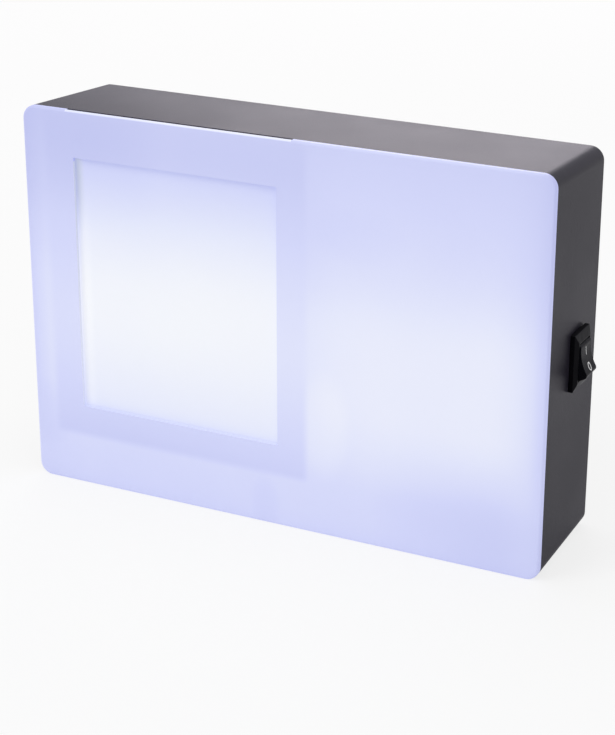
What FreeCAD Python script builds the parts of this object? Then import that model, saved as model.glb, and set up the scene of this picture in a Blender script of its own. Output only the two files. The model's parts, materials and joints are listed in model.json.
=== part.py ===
import FreeCAD, Part
import math
import os
import Sketcher

# Cinema light box: an A6 opal writing panel clipped to a black tub. Millimetres, +Z up.
# The origin is the middle of the bottom face, the panel faces -Y and the switch is on the +X side.

SIZES = {
    # tub and panel outline
    "box_width": 148.0,
    "box_height": 105.5,
    "box_depth": 37.0,
    "corner_radius": 3.6,
    "inner_corner_radius": 2.6,
    "side_draft": 0.9,
    "top_draft": 2.3,
    "bottom_trim": 0.01,
    "wall": 2.0,
    "back_thickness": 2.0,
    # opal panel with its photo window and pocket
    "panel_thickness": 1.6,
    "panel_edge_radius": 0.7,
    "window_width": 59.5,
    "window_drop": 12.5,
    "window_inset": 15.2,
    "window_bottom": 23.0,
    "pocket_depth": 0.8,
    "pocket_left_side": 2.1,
    "pocket_right_side": 4.15,
    "pocket_floor": 16.5,
    "backing_thickness": 1.0,
    "backing_margin": 4.2,
    "backing_left_margin": 6.25,
    "backing_drop": 2.0,
    "stake_radius": 0.8,
    "stake_gap": 0.1,
    "stake_head": 0.6,
    # skirt and snap hooks that hold the panel in the tub
    "skirt_depth": 4.0,
    "skirt_wall": 1.2,
    "skirt_gap": 0.15,
    "hook_length": 8.0,
    "hook_thickness": 1.2,
    "hook_reach": 0.6,
    "hook_gap": 0.2,
    "hook_spread": 35.0,
    # battery bay
    "middle_height": 52.8,
    "cell_diameter": 14.3,
    "cell_can_length": 49.2,
    "cell_nub_length": 1.3,
    "cell_nub_radius": 2.75,
    "cell_edge_radius": 0.6,
    "cell_spacing": 0.9,
    "cell_floor_gap": 0.2,
    "cell_door_gap": 0.7,
    "bay_end_room": 6.5,
    "bay_side_gap": 0.4,
    "bay_wall": 1.4,
    "bay_floor": 1.6,
    "ridge_width": 1.0,
    "ridge_height": 3.0,
    # battery door
    "door_ledge": 1.1,
    "door_gap": 0.3,
    "door_seat_gap": 0.1,
    "door_rib_width": 1.2,
    "door_rib_height": 1.4,
    "door_rib_spread": 12.0,
    "door_rib_margin": 2.0,
    "tab_spread": 18.0,
    "tab_width": 6.0,
    "tab_thickness": 1.2,
    "tab_reach": 2.5,
    "tab_root": 2.0,
    "tab_gap": 0.1,
    "tab_side_gap": 0.3,
    "tab_sweep_depth": 2.6,
    "nib_width": 8.0,
    "nib_height": 0.15,
    "grip_count": 4.0,
    "grip_length": 16.0,
    "grip_width": 1.0,
    "grip_depth": 0.5,
    "grip_pitch": 2.2,
    "grip_margin": 3.0,
    "scoop_width": 14.0,
    "scoop_height": 4.0,
    "scoop_depth": 1.2,
    # keyholes to hang the box by two screws
    "keyhole_spread": 40.0,
    "keyhole_drop": 19.5,
    "keyhole_entry_radius": 3.5,
    "keyhole_slot_radius": 1.8,
    "keyhole_rise": 6.0,
    # battery contacts
    "contact_thickness": 0.4,
    "contact_width": 9.0,
    "contact_overlap": 4.5,
    "contact_gap": 0.05,
    "solder_tab_width": 3.0,
    "solder_tab_length": 2.6,
    "solder_tab_gap": 0.2,
    "spring_wire": 0.7,
    "spring_base_radius": 4.6,
    "spring_turns": 3.0,
    "spring_cone_angle": 24.0,
    # lamps
    "reflector_thickness": 0.5,
    "reflector_gap": 2.0,
    "board_end_gap": 12.0,
    "board_width": 10.0,
    "board_thickness": 1.0,
    "pad_inset": 10.0,
    "pad_drop": 2.95,
    "boss_radius": 3.0,
    "boss_root": 0.5,
    "screw_radius": 1.0,
    "screw_length": 8.0,
    "screw_clearance": 0.25,
    "screw_head_radius": 2.1,
    "screw_head_height": 1.4,
    "screw_recess_radius": 0.8,
    "screw_recess_depth": 0.8,
    "led_end_margin": 11.0,
    "led_length": 3.5,
    "led_width": 2.8,
    "led_height": 1.4,
    "resistor_length": 2.0,
    "resistor_width": 1.25,
    "resistor_height": 0.5,
    "resistor_drop": 3.4,
    # mini rocker switch
    "switch_setback": 4.9,
    "switch_height": 52.8,
    "switch_side_wall": 0.5,
    "switch_end_wall": 1.65,
    "cutout_gap": 0.05,
    "bezel_side_lap": 1.0,
    "bezel_end_lap": 0.75,
    "bezel_thickness": 2.0,
    "bezel_slope_rise": 0.8,
    "bezel_land": 0.4,
    "bezel_seat_gap": 0.02,
    "switch_body_depth": 11.5,
    "switch_wing_reach": 0.6,
    "switch_wing_length": 1.8,
    "switch_wing_width": 4.0,
    "switch_wing_gap": 0.4,
    "pivot_height": 0.95,
    "pivot_radius": 0.7,
    "pivot_clearance": 0.05,
    "pivot_end_gap": 0.1,
    "rocker_width": 7.1,
    "rocker_radius": 4.8,
    "rocker_end_gap": 0.25,
    "rocker_side_gap": 0.15,
    "rocker_face": 1.86,
    "rocker_dish_radius": 12.0,
    "rocker_lip_radius": 1.0,
    "rocker_skirt": 2.2,
    "rocker_tilt": 14.5,
    "rocker_well": 4.2,
    "rocker_boss_radius": 1.7,
    "rocker_boss_end": 3.2,
    "rocker_bore_gap": 0.1,
    "rocker_bore_end": 0.6,
    "plunger_radius": 1.0,
    "plunger_tip_radius": 0.75,
    "plunger_tip": 4.3,
    "plunger_seat": 2.0,
    "snap_spring_wire": 0.3,
    "snap_spring_gap": 0.2,
    "snap_spring_turns": 4.0,
    # seesaw contact and blades of the switch
    "arm_gap": 0.15,
    "arm_thickness": 0.6,
    "arm_half_length": 4.0,
    "arm_width": 3.0,
    "arm_knuckle_radius": 0.9,
    "arm_tilt": 10.0,
    "arm_rivet_radius": 0.8,
    "arm_rivet_height": 0.3,
    "arm_rivet_place": 3.1,
    "arm_well_width": 4.0,
    "arm_well_half_height": 4.9,
    "arm_well_depth": 3.0,
    "cradle_drop": 0.6,
    "cradle_thickness": 2.0,
    "cradle_depth": 1.0,
    "cradle_clearance": 0.05,
    "blade_width": 2.8,
    "blade_thickness": 0.8,
    "blade_length": 6.0,
    "blade_clearance": 0.02,
    "blade_hole_place": 1.6,
    "contact_pad_radius": 0.9,
    "contact_pad_height": 0.6,
    "contact_pad_gap": 0.15,
    # insulated wires
    "wire_radius": 0.5,
    "wire_hole_gap": 0.05,
}

PLACES = {
    "half_width": "Size.box_width / 2",
    "front": "-Size.box_depth / 2",
    "back": "Size.box_depth / 2",
    "panel_back": "front + Size.panel_thickness",
    "back_inner": "back - Size.back_thickness",
    "side_slope": "Size.side_draft / (back - panel_back)",
    "top_slope": "Size.top_draft / (back - panel_back)",
    "back_half_width": "half_width - Size.side_draft",
    "back_height": "Size.box_height - Size.top_draft",
    "inner_half": "half_width - Size.wall",
    "inner_top": "Size.box_height - Size.wall",
    "inner_depth": "back_inner - panel_back",
    "inner_back_half": "inner_half - side_slope * inner_depth",
    "inner_back_top": "inner_top - top_slope * inner_depth",
    # window, photo pocket and its backing
    "window_left": "-half_width + Size.window_inset",
    "window_right": "window_left + Size.window_width",
    "window_top": "Size.box_height - Size.window_drop",
    "recess_back": "panel_back - Size.pocket_depth",
    "pocket_left": "window_left - Size.pocket_left_side",
    "pocket_right": "window_right + Size.pocket_right_side",
    "backing_left": "pocket_left - Size.backing_left_margin",
    "backing_right": "pocket_right + Size.backing_margin",
    "backing_bottom": "Size.pocket_floor - Size.backing_drop",
    "backing_top": "skirt_top - Size.skirt_wall - Size.skirt_gap",
    "backing_back": "panel_back + Size.backing_thickness",
    # skirt
    "skirt_end": "panel_back + Size.skirt_depth",
    "skirt_half": "inner_half - side_slope * Size.skirt_depth - Size.skirt_gap",
    "skirt_top": "inner_top - top_slope * Size.skirt_depth - Size.skirt_gap",
    "skirt_bottom": "Size.wall + Size.skirt_gap",
    "skirt_radius": "Size.inner_corner_radius - Size.skirt_gap",
    "hook_back": "skirt_end - Size.hook_thickness / 2",
    "hook_front": "hook_back - Size.hook_thickness",
    # battery bay
    "cell_pitch": "Size.cell_diameter + Size.cell_spacing",
    "cell_back": "door_inner - Size.door_rib_height - Size.cell_door_gap",
    "cell_depth": "cell_back - Size.cell_diameter / 2",
    "bay_inner": "cell_back - Size.cell_diameter - Size.cell_floor_gap",
    "bay_face": "bay_inner - Size.bay_floor",
    "cell_length": "Size.cell_can_length + Size.cell_nub_length",
    "bay_half_length": "(cell_length + Size.bay_end_room) / 2",
    "bay_half_height": "1.5 * cell_pitch + Size.bay_side_gap / 2",
    "bay_bottom": "Size.middle_height - bay_half_height",
    "bay_top": "Size.middle_height + bay_half_height",
    # battery door
    "door_half": "bay_half_length + Size.door_ledge - Size.door_gap",
    "door_bottom": "bay_bottom - Size.door_ledge + Size.door_gap",
    "door_top": "bay_top + Size.door_ledge - Size.door_gap",
    "door_inner": "back_inner + Size.door_seat_gap",
    "tab_back": "back_inner - Size.tab_gap",
    "keyhole_height": "Size.box_height - Size.keyhole_drop",
    # battery contacts
    "contact_outer": "bay_half_length - Size.contact_gap",
    "contact_inner": "contact_outer - Size.contact_thickness",
    "cell_shift": "contact_inner - Size.contact_gap - cell_length / 2",
    "spring_start": "contact_inner - Size.contact_gap",
    "spring_end": "cell_length / 2 - cell_shift + Size.contact_gap",
    "spring_travel": "spring_start - spring_end - Size.spring_wire",
    "solder_tab_end": "bay_half_length + Size.bay_wall + Size.solder_tab_length",
    # lamps
    "reflector_face": "bay_face - Size.reflector_thickness",
    "reflector_lead": "bay_face - panel_back",
    "reflector_half": "inner_half - side_slope * reflector_lead - Size.reflector_gap",
    "reflector_top": "inner_top - top_slope * reflector_lead - Size.reflector_gap",
    "reflector_bottom": "Size.wall + Size.reflector_gap",
    "board_face": "reflector_face - Size.board_thickness",
    "board_half": "inner_half - Size.board_end_gap",
    "led_pitch": "2 * (board_half - Size.led_end_margin) / 7",
    "boss_spread": "3 * led_pitch",
    "pad_spread": "board_half - Size.pad_inset",
    "pad_height": "Size.middle_height - Size.pad_drop",
    # switch
    "opening_width": "Size.rocker_width + 2 * Size.rocker_side_gap",
    "opening_height": "2 * (Size.rocker_radius + Size.rocker_end_gap)",
    "core_width": "opening_width + 2 * Size.switch_side_wall",
    "core_height": "opening_height + 2 * Size.switch_end_wall",
    "cutout_width": "core_width + 2 * Size.cutout_gap",
    "cutout_height": "core_height + 2 * Size.cutout_gap",
    "bezel_width": "cutout_width + 2 * Size.bezel_side_lap",
    "bezel_height": "cutout_height + 2 * Size.bezel_end_lap",
    "switch_depth": "bay_face + Size.switch_setback",
    "switch_lead": "switch_depth - bezel_width / 2 - panel_back",
    "bezel_seat": "half_width - side_slope * switch_lead + Size.bezel_seat_gap",
    "bezel_face": "bezel_seat + Size.bezel_thickness",
    "pivot": "bezel_seat + Size.pivot_height",
    "switch_rear": "bezel_seat - Size.switch_body_depth",
    "rocker_well_end": "pivot - Size.rocker_well",
    "pin_reach": "core_width / 2 - Size.pivot_end_gap",
    "rocker_bore_radius": "Size.plunger_radius + Size.rocker_bore_gap",
    "snap_spring_radius": "rocker_bore_radius - Size.snap_spring_gap - Size.snap_spring_wire / 2",
    "arm_pivot": "pivot - Size.plunger_tip - Size.arm_gap - Size.arm_thickness / 2",
    "arm_well_end": "rocker_well_end - Size.arm_well_depth",
    "cradle_top": "arm_pivot - Size.cradle_drop",
    "blade_end": "switch_rear - Size.blade_length",
    "blade_hole": "blade_end + Size.blade_hole_place",
    "blade_hole_radius": "Size.wire_radius + Size.wire_hole_gap",
    "rivet_reach": "Size.arm_thickness / 2 + Size.arm_rivet_height",
    "rivet_drop": "Size.arm_rivet_place * cos(Size.arm_tilt) - rivet_reach * sin(Size.arm_tilt)",
    "rivet_lean": "(Size.arm_rivet_place + Size.arm_rivet_radius) * sin(Size.arm_tilt)",
    "pad_top": "arm_pivot - rivet_lean - rivet_reach * cos(Size.arm_tilt) - Size.contact_pad_gap",
    "on_blade_height": "Size.switch_height - rivet_drop",
}

X_AXIS = FreeCAD.Vector(1, 0, 0)
Y_AXIS = FreeCAD.Vector(0, 1, 0)
Z_AXIS = FreeCAD.Vector(0, 0, 1)
ALONG_X = FreeCAD.Rotation(Y_AXIS, 90)
ALONG_MINUS_X = FreeCAD.Rotation(Y_AXIS, -90)
ALONG_Y = FreeCAD.Rotation(X_AXIS, -90)
CELLS = (("battery_1", 1, 1), ("battery_2", 0, -1), ("battery_3", -1, 1))
LED_COUNT = 8

doc = FreeCAD.newDocument("CinemaLightBox")
parts = []


def fill_sheet(name, cells, lead=""):
    """Write one named value per row: the name in column A, the value in column B."""
    sheet = doc.addObject("Spreadsheet::Sheet", name)
    for row, (alias, value) in enumerate(cells.items(), start=1):
        sheet.set(f"A{row}", alias)
        sheet.set(f"B{row}", f"{lead}{value}")
        sheet.setAlias(f"B{row}", alias)
    doc.recompute()
    return sheet


size_sheet = fill_sheet("Size", SIZES)
place_sheet = fill_sheet("Place", PLACES, lead="=")


def value(expression):
    """Work out an expression over the two sheets as a plain number."""
    return float(place_sheet.evalExpression(expression))


def new_part(name):
    """Start the body of one sub-part."""
    body = doc.addObject("PartDesign::Body", name)
    body.Label = name
    parts.append(body)
    return body


def place(piece, x="0", y="0", z="0", rotation=None):
    """Turn a feature or body, and bind its position to three expressions."""
    if rotation is not None:
        piece.Placement = FreeCAD.Placement(FreeCAD.Vector(), rotation)
    for axis, expression in zip("xyz", (x, y, z)):
        piece.setExpression(f"Placement.Base.{axis}", expression)


def box(body, name, low, high, cut=False):
    """Add or cut a box between two corners, each given as three expressions."""
    kind = "PartDesign::SubtractiveBox" if cut else "PartDesign::AdditiveBox"
    piece = body.newObject(kind, name)
    for side, start, end in zip(("Length", "Width", "Height"), low, high):
        piece.setExpression(side, f"({end}) - ({start})")
    place(piece, *low)
    return piece


def cylinder(body, name, start, radius, length, rotation=None, cut=False):
    """Add or cut a cylinder that runs from a start point along its turned axis."""
    kind = "PartDesign::SubtractiveCylinder" if cut else "PartDesign::AdditiveCylinder"
    piece = body.newObject(kind, name)
    piece.setExpression("Radius", radius)
    piece.setExpression("Height", length)
    place(piece, *start, rotation)
    return piece


def new_sketch(body, name, plane, offset):
    """Attach a sketch to one of the body's origin planes, at an offset along its normal."""
    sketch = body.newObject("Sketcher::SketchObject", name)
    support = [item for item in body.Origin.OriginFeatures if item.Role == plane][0]
    sketch.AttachmentSupport = [(support, "")]
    sketch.MapMode = "FlatFace"
    sketch.setExpression("AttachmentOffset.Base.z", offset)
    return sketch


def bind(sketch, kind, geometry, point, expression):
    """Fix one coordinate of a sketch point to an expression."""
    constraint = Sketcher.Constraint(kind, geometry, point, value(expression))
    index = sketch.addConstraint(constraint)
    sketch.setExpression(f"Constraints[{index}]", expression)


def rounded_rectangle(body, name, depth, sides, radius):
    """Sketch an upright rounded rectangle at a depth; sides are left, right, bottom and top."""
    sketch = new_sketch(body, name, "XZ_Plane", f"-({depth})")
    left, right, bottom, top = (value(side) for side in sides)
    bend = value(radius)
    centres = (
        FreeCAD.Vector(right - bend, bottom + bend, 0),
        FreeCAD.Vector(right - bend, top - bend, 0),
        FreeCAD.Vector(left + bend, top - bend, 0),
        FreeCAD.Vector(left + bend, bottom + bend, 0),
    )
    arcs = []
    for quarter, centre in enumerate(centres):
        start = math.radians(90 * (quarter - 1))
        circle = Part.Circle(centre, Z_AXIS, bend)
        arcs.append(Part.ArcOfCircle(circle, start, start + math.pi / 2))
    for arc in arcs:
        sketch.addGeometry(arc, False)
    for quarter in range(4):
        following = arcs[(quarter + 1) % 4]
        edge = Part.LineSegment(arcs[quarter].EndPoint, following.StartPoint)
        sketch.addGeometry(edge, False)
    for quarter in range(4):
        line = 4 + quarter
        direction = "Horizontal" if quarter % 2 else "Vertical"
        sketch.addConstraint(Sketcher.Constraint("Tangent", quarter, 2, line, 1))
        sketch.addConstraint(Sketcher.Constraint("Tangent", line, 2, (quarter + 1) % 4, 1))
        sketch.addConstraint(Sketcher.Constraint(direction, line))
    for quarter in range(1, 4):
        sketch.addConstraint(Sketcher.Constraint("Equal", 0, quarter))
    index = sketch.addConstraint(Sketcher.Constraint("Radius", 0, bend))
    sketch.setExpression(f"Constraints[{index}]", radius)
    bind(sketch, "DistanceX", 6, 1, sides[0])
    bind(sketch, "DistanceX", 4, 1, sides[1])
    bind(sketch, "DistanceY", 7, 1, sides[2])
    bind(sketch, "DistanceY", 5, 1, sides[3])
    return sketch


def extrude(body, name, sketch, length, backwards=False, cut=False):
    """Pad or pocket a sketch. Forwards, a pad runs along its normal and a pocket against it."""
    feature = body.newObject("PartDesign::Pocket" if cut else "PartDesign::Pad", name)
    feature.Profile = sketch
    feature.setExpression("Length", length)
    feature.Reversed = backwards
    return feature


def loft(body, name, first, second, cut=False):
    """Join two sketches by straight walls."""
    kind = "PartDesign::SubtractiveLoft" if cut else "PartDesign::AdditiveLoft"
    feature = body.newObject(kind, name)
    feature.Profile = first
    feature.Sections = [second]
    feature.Ruled = True
    return feature


def edges_where(body, test):
    """Name the edges of the body so far that pass a test."""
    doc.recompute()
    edges = body.Tip.Shape.Edges
    return [f"Edge{number}" for number, edge in enumerate(edges, start=1) if test(edge)]


def round_edges(body, name, radius, test):
    """Fillet the edges that pass a test."""
    names = edges_where(body, test)
    base = body.Tip
    feature = body.newObject("PartDesign::Fillet", name)
    feature.Base = (base, names)
    feature.setExpression("Radius", radius)
    return feature


def lies_at(edge, axis, place_value):
    """Tell whether an edge lies wholly at one coordinate."""
    bounds = edge.BoundBox
    low, high = getattr(bounds, f"{axis}Min"), getattr(bounds, f"{axis}Max")
    return abs(low - place_value) < 1e-4 and abs(high - place_value) < 1e-4


def hook_places():
    """List each snap hook as its name, wall and place along that wall."""
    spread = "Size.hook_spread"
    return (
        ("TopLeft", "top", f"-{spread}"),
        ("TopRight", "top", spread),
        ("BottomLeft", "bottom", f"-{spread}"),
        ("BottomRight", "bottom", spread),
        ("Left", "left", "Size.middle_height"),
        ("Right", "right", "Size.middle_height"),
    )


def hook_box(body, name, wall, along, gap, cut=False):
    """Add a snap hook to the skirt, or cut the catch for it with a gap all round."""
    half = f"Size.hook_length / 2 + {gap}"
    reach = f"Size.hook_reach + {gap}"
    front, back = f"Place.hook_front - {gap}", f"Place.hook_back + {gap}"
    start, end = f"{along} - ({half})", f"{along} + ({half})"
    grip = "Size.skirt_wall / 2"
    spans = {
        "top": (start, end, f"Place.skirt_top - {grip}", f"Place.skirt_top + {reach}"),
        "bottom": (start, end, f"Place.skirt_bottom - ({reach})", f"Place.skirt_bottom + {grip}"),
        "left": (f"-Place.skirt_half - ({reach})", f"-Place.skirt_half + {grip}", start, end),
        "right": (f"Place.skirt_half - {grip}", f"Place.skirt_half + {reach}", start, end),
    }
    x_low, x_high, z_low, z_high = spans[wall]
    return box(body, name, (x_low, front, z_low), (x_high, back, z_high), cut)


def stake_places():
    """List the four heat stakes of the pocket backing."""
    columns = (("Left", "Place.pocket_left - Size.backing_left_margin / 2"),
               ("Right", "Place.pocket_right + Size.backing_margin / 2"))
    rows = (("Low", "Size.pocket_floor + Size.backing_margin"),
            ("High", "Place.backing_top - Size.backing_margin"))
    return [(side + level, x, z) for side, x in columns for level, z in rows]


def make_front_panel():
    """Opal plate with a rounded rim, photo window, loading pocket and snap skirt."""
    body = new_part("front_panel")
    sides = ("-Place.half_width", "Place.half_width", "0", "Size.box_height")
    outline = rounded_rectangle(body, "PanelOutline", "Place.front", sides, "Size.corner_radius")
    extrude(body, "PanelPlate", outline, "Size.panel_thickness", backwards=True)
    front = value("Place.front")
    round_edges(body, "PanelRim", "Size.panel_edge_radius", lambda edge: lies_at(edge, "Y", front))
    sides = ("-Place.skirt_half", "Place.skirt_half", "Place.skirt_bottom", "Place.skirt_top")
    outline = rounded_rectangle(body, "SkirtOutline", "Place.panel_back", sides, "Place.skirt_radius")
    extrude(body, "SkirtBlock", outline, "Size.skirt_depth", backwards=True)
    inner = [f"{side} {sign} Size.skirt_wall" for side, sign in zip(sides, "+-+-")]
    radius = "Place.skirt_radius - Size.skirt_wall"
    outline = rounded_rectangle(body, "SkirtInside", "Place.skirt_end", inner, radius)
    extrude(body, "SkirtHollow", outline, "Size.skirt_depth", backwards=True, cut=True)
    for name, wall, along in hook_places():
        hook_box(body, f"Hook{name}", wall, along, "0")
    for name, x, z in stake_places():
        length = "Size.backing_thickness + Size.stake_head"
        cylinder(body, f"Stake{name}", (x, "Place.panel_back", z), "Size.stake_radius", length, ALONG_Y)
    low = ("Place.pocket_left", "Place.recess_back", "Size.pocket_floor")
    high = ("Place.pocket_right", "Place.panel_back", "Size.box_height + Size.wall")
    box(body, "Pocket", low, high, cut=True)
    low = ("Place.window_left", "Place.front - Size.wall", "Size.window_bottom")
    high = ("Place.window_right", "Place.panel_back", "Place.window_top")
    box(body, "Window", low, high, cut=True)


def make_pocket_back():
    """Thin opal plate that closes the photo pocket from behind."""
    body = new_part("pocket_back")
    low = ("Place.backing_left", "Place.panel_back", "Place.backing_bottom")
    high = ("Place.backing_right", "Place.backing_back", "Place.backing_top")
    box(body, "Plate", low, high)
    for name, x, z in stake_places():
        radius = "Size.stake_radius + Size.stake_gap"
        start = (x, "Place.panel_back", z)
        cylinder(body, f"Hole{name}", start, radius, "Size.backing_thickness", ALONG_Y, cut=True)


def cut_keyhole(body, name, x):
    """Cut one keyhole through the back wall: an entry for the screw head and a slot above it."""
    start = (x, "Place.back_inner", "Place.keyhole_height")
    rise = "Place.keyhole_height + Size.keyhole_rise"
    depth = "Size.back_thickness"
    cylinder(body, f"{name}Entry", start, "Size.keyhole_entry_radius", depth, ALONG_Y, cut=True)
    low = (f"{x} - Size.keyhole_slot_radius", "Place.back_inner", "Place.keyhole_height")
    high = (f"{x} + Size.keyhole_slot_radius", "Place.back", rise)
    box(body, f"{name}Slot", low, high, cut=True)
    start = (x, "Place.back_inner", rise)
    cylinder(body, f"{name}End", start, "Size.keyhole_slot_radius", depth, ALONG_Y, cut=True)


def cut_bay(body):
    """Hollow the battery bay, its door opening and the notches that the door needs."""
    low = ("-Place.bay_half_length", "Place.bay_inner", "Place.bay_bottom")
    high = ("Place.bay_half_length", "Place.back", "Place.bay_top")
    box(body, "BayHollow", low, high, cut=True)
    ledge = "Size.door_ledge"
    low = (f"-Place.bay_half_length - {ledge}", "Place.back_inner", f"Place.bay_bottom - {ledge}")
    high = (f"Place.bay_half_length + {ledge}", "Place.back", f"Place.bay_top + {ledge}")
    box(body, "DoorOpening", low, high, cut=True)
    for name, side in (("Left", "-"), ("Right", "")):
        middle = f"{side}Size.tab_spread"
        half = "(Size.tab_width / 2 + Size.tab_side_gap)"
        low = (f"{middle} - {half}", "Place.back_inner - Size.tab_sweep_depth",
               "Place.bay_bottom - Size.bay_wall")
        high = (f"{middle} + {half}", "Place.back_inner", "Place.bay_bottom")
        box(body, f"TabNotch{name}", low, high, cut=True)
    low = ("-Size.scoop_width / 2", "Place.back - Size.scoop_depth", f"Place.bay_top + {ledge}")
    high = ("Size.scoop_width / 2", "Place.back", f"Place.bay_top + {ledge} + Size.scoop_height")
    box(body, "FingerScoop", low, high, cut=True)


def cut_solder_slots(body):
    """Cut the two slots through the bay's end walls for the solder tabs."""
    for name, side, level in (("Right", 1, "1"), ("Left", -1, "-1")):
        inner, outer = "Place.bay_half_length", "Place.bay_half_length + Size.bay_wall"
        x_low, x_high = (inner, outer) if side > 0 else (f"-({outer})", f"-{inner}")
        half = "(Size.solder_tab_width / 2 + Size.solder_tab_gap)"
        height = f"(Size.middle_height + {level} * Place.cell_pitch)"
        thick = "(Size.contact_thickness / 2 + Size.solder_tab_gap)"
        low = (x_low, f"Place.cell_depth - {half}", f"{height} - {thick}")
        high = (x_high, f"Place.cell_depth + {half}", f"{height} + {thick}")
        box(body, f"SolderSlot{name}", low, high, cut=True)


def make_rear_housing():
    """Drafted tub with the battery bay, lamp bosses, catches, keyholes and switch cut-out."""
    body = new_part("rear_housing")
    radius = "Size.corner_radius"
    below = "-Size.bottom_trim"
    sides = ("-Place.half_width", "Place.half_width", below, "Size.box_height")
    outer_front = rounded_rectangle(body, "OuterFront", "Place.panel_back", sides, radius)
    sides = ("-Place.back_half_width", "Place.back_half_width", below, "Place.back_height")
    outer_back = rounded_rectangle(body, "OuterBack", "Place.back", sides, radius)
    loft(body, "Block", outer_front, outer_back)
    low = ("-Place.half_width - Size.wall", "Place.panel_back - Size.wall", "-Size.wall")
    high = ("Place.half_width + Size.wall", "Place.back + Size.wall", "0")
    box(body, "FlatBottom", low, high, cut=True)
    radius = "Size.inner_corner_radius"
    sides = ("-Place.inner_half", "Place.inner_half", "Size.wall", "Place.inner_top")
    inner_front = rounded_rectangle(body, "InnerFront", "Place.panel_back", sides, radius)
    sides = ("-Place.inner_back_half", "Place.inner_back_half", "Size.wall", "Place.inner_back_top")
    inner_back = rounded_rectangle(body, "InnerBack", "Place.back_inner", sides, radius)
    loft(body, "Hollow", inner_front, inner_back, cut=True)
    wall = "Size.bay_wall"
    low = (f"-Place.bay_half_length - {wall}", "Place.bay_face", f"Place.bay_bottom - {wall}")
    high = (f"Place.bay_half_length + {wall}", "Place.back_inner", f"Place.bay_top + {wall}")
    box(body, "BayBlock", low, high)
    for name, side in (("Left", "-"), ("Right", "")):
        start = (f"{side}Place.boss_spread", "Place.bay_face", "Size.middle_height")
        length = "Place.back_inner - Place.bay_face + Size.boss_root"
        cylinder(body, f"Boss{name}", start, "Size.boss_radius", length, ALONG_Y)
        depth = "Size.screw_length"
        cylinder(body, f"Pilot{name}", start, "Size.screw_radius", depth, ALONG_Y, cut=True)
    cut_bay(body)
    cut_solder_slots(body)
    for name, level in (("Low", "-0.5"), ("High", "0.5")):
        height = f"Size.middle_height + {level} * Place.cell_pitch"
        low = ("-Place.bay_half_length", "Place.bay_inner", f"{height} - Size.ridge_width / 2")
        high = ("Place.bay_half_length", "Place.bay_inner + Size.ridge_height",
                f"{height} + Size.ridge_width / 2")
        box(body, f"CellRidge{name}", low, high)
        for end, side in (("Left", -1), ("Right", 1)):
            inner = "Place.contact_inner - Size.contact_gap"
            outer = "Place.bay_half_length"
            x_low, x_high = (inner, outer) if side > 0 else (f"-{outer}", f"-({inner})")
            box(body, f"Ridge{name}Relief{end}", (x_low, low[1], low[2]),
                (x_high, high[1], high[2]), cut=True)
    for name, wall_name, along in hook_places():
        hook_box(body, f"Catch{name}", wall_name, along, "Size.hook_gap", cut=True)
    for name, side in (("KeyholeLeft", "-"), ("KeyholeRight", "")):
        cut_keyhole(body, name, f"{side}Size.keyhole_spread")
    low = ("Place.inner_half - Size.wall", "Place.switch_depth - Place.cutout_width / 2",
           "Size.switch_height - Place.cutout_height / 2")
    high = ("Place.half_width", "Place.switch_depth + Place.cutout_width / 2",
            "Size.switch_height + Place.cutout_height / 2")
    box(body, "SwitchCutout", low, high, cut=True)


def make_battery_door():
    """Flush door on the back: hinge tabs below, latch nib and thumb grooves above, ribs inside."""
    body = new_part("battery_door")
    low = ("-Place.door_half", "Place.door_inner", "Place.door_bottom")
    high = ("Place.door_half", "Place.back", "Place.door_top")
    box(body, "Plate", low, high)
    for name, side in (("Left", "-"), ("Right", "")):
        middle = f"{side}Size.door_rib_spread"
        half = "Size.door_rib_width / 2"
        margin = "Size.door_rib_margin"
        low = (f"{middle} - {half}", "Place.door_inner - Size.door_rib_height",
               f"Place.door_bottom + {margin}")
        high = (f"{middle} + {half}", "Place.door_inner", f"Place.door_top - {margin}")
        box(body, f"Rib{name}", low, high)
        middle = f"{side}Size.tab_spread"
        half = "Size.tab_width / 2"
        front = "Place.tab_back - Size.tab_thickness"
        low = (f"{middle} - {half}", front, "Place.door_bottom")
        high = (f"{middle} + {half}", "Place.door_inner", "Place.door_bottom + Size.tab_root")
        box(body, f"TabRoot{name}", low, high)
        low = (f"{middle} - {half}", front, "Place.door_bottom - Size.tab_reach")
        high = (f"{middle} + {half}", "Place.tab_back", "Place.door_bottom + Size.tab_root")
        box(body, f"Tab{name}", low, high)
    for number in range(int(value("Size.grip_count"))):
        top = f"Place.door_top - Size.grip_margin - {number} * Size.grip_pitch"
        low = ("-Size.grip_length / 2", "Place.back - Size.grip_depth", f"{top} - Size.grip_width")
        high = ("Size.grip_length / 2", "Place.back", top)
        box(body, f"GripGroove{number + 1}", low, high, cut=True)
    low = ("-Size.nib_width / 2", "Place.door_inner", "Place.door_top")
    high = ("Size.nib_width / 2", "Place.door_inner + Size.nib_height",
            "Place.door_top + Size.nib_height")
    box(body, "LatchNib", low, high)


def make_battery(name, level, direction):
    """One AA cell: the can and, at its positive end, the nub. Direction is +1 or -1 along X."""
    body = new_part(name)
    start = ("-Place.cell_length / 2", "0", "0")
    cylinder(body, "Can", start, "Size.cell_diameter / 2", "Size.cell_can_length", ALONG_X)
    round_edges(body, "CanEdge", "Size.cell_edge_radius", lambda edge: len(edge.Vertexes) == 1)
    start = ("-Place.cell_length / 2 + Size.cell_can_length", "0", "0")
    cylinder(body, "Nub", start, "Size.cell_nub_radius", "Size.cell_nub_length", ALONG_X)
    turn = FreeCAD.Rotation(Z_AXIS, 0 if direction > 0 else 180)
    height = f"Size.middle_height + {level} * Place.cell_pitch"
    place(body, f"{direction} * Place.cell_shift", "Place.cell_depth", height, turn)


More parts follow.
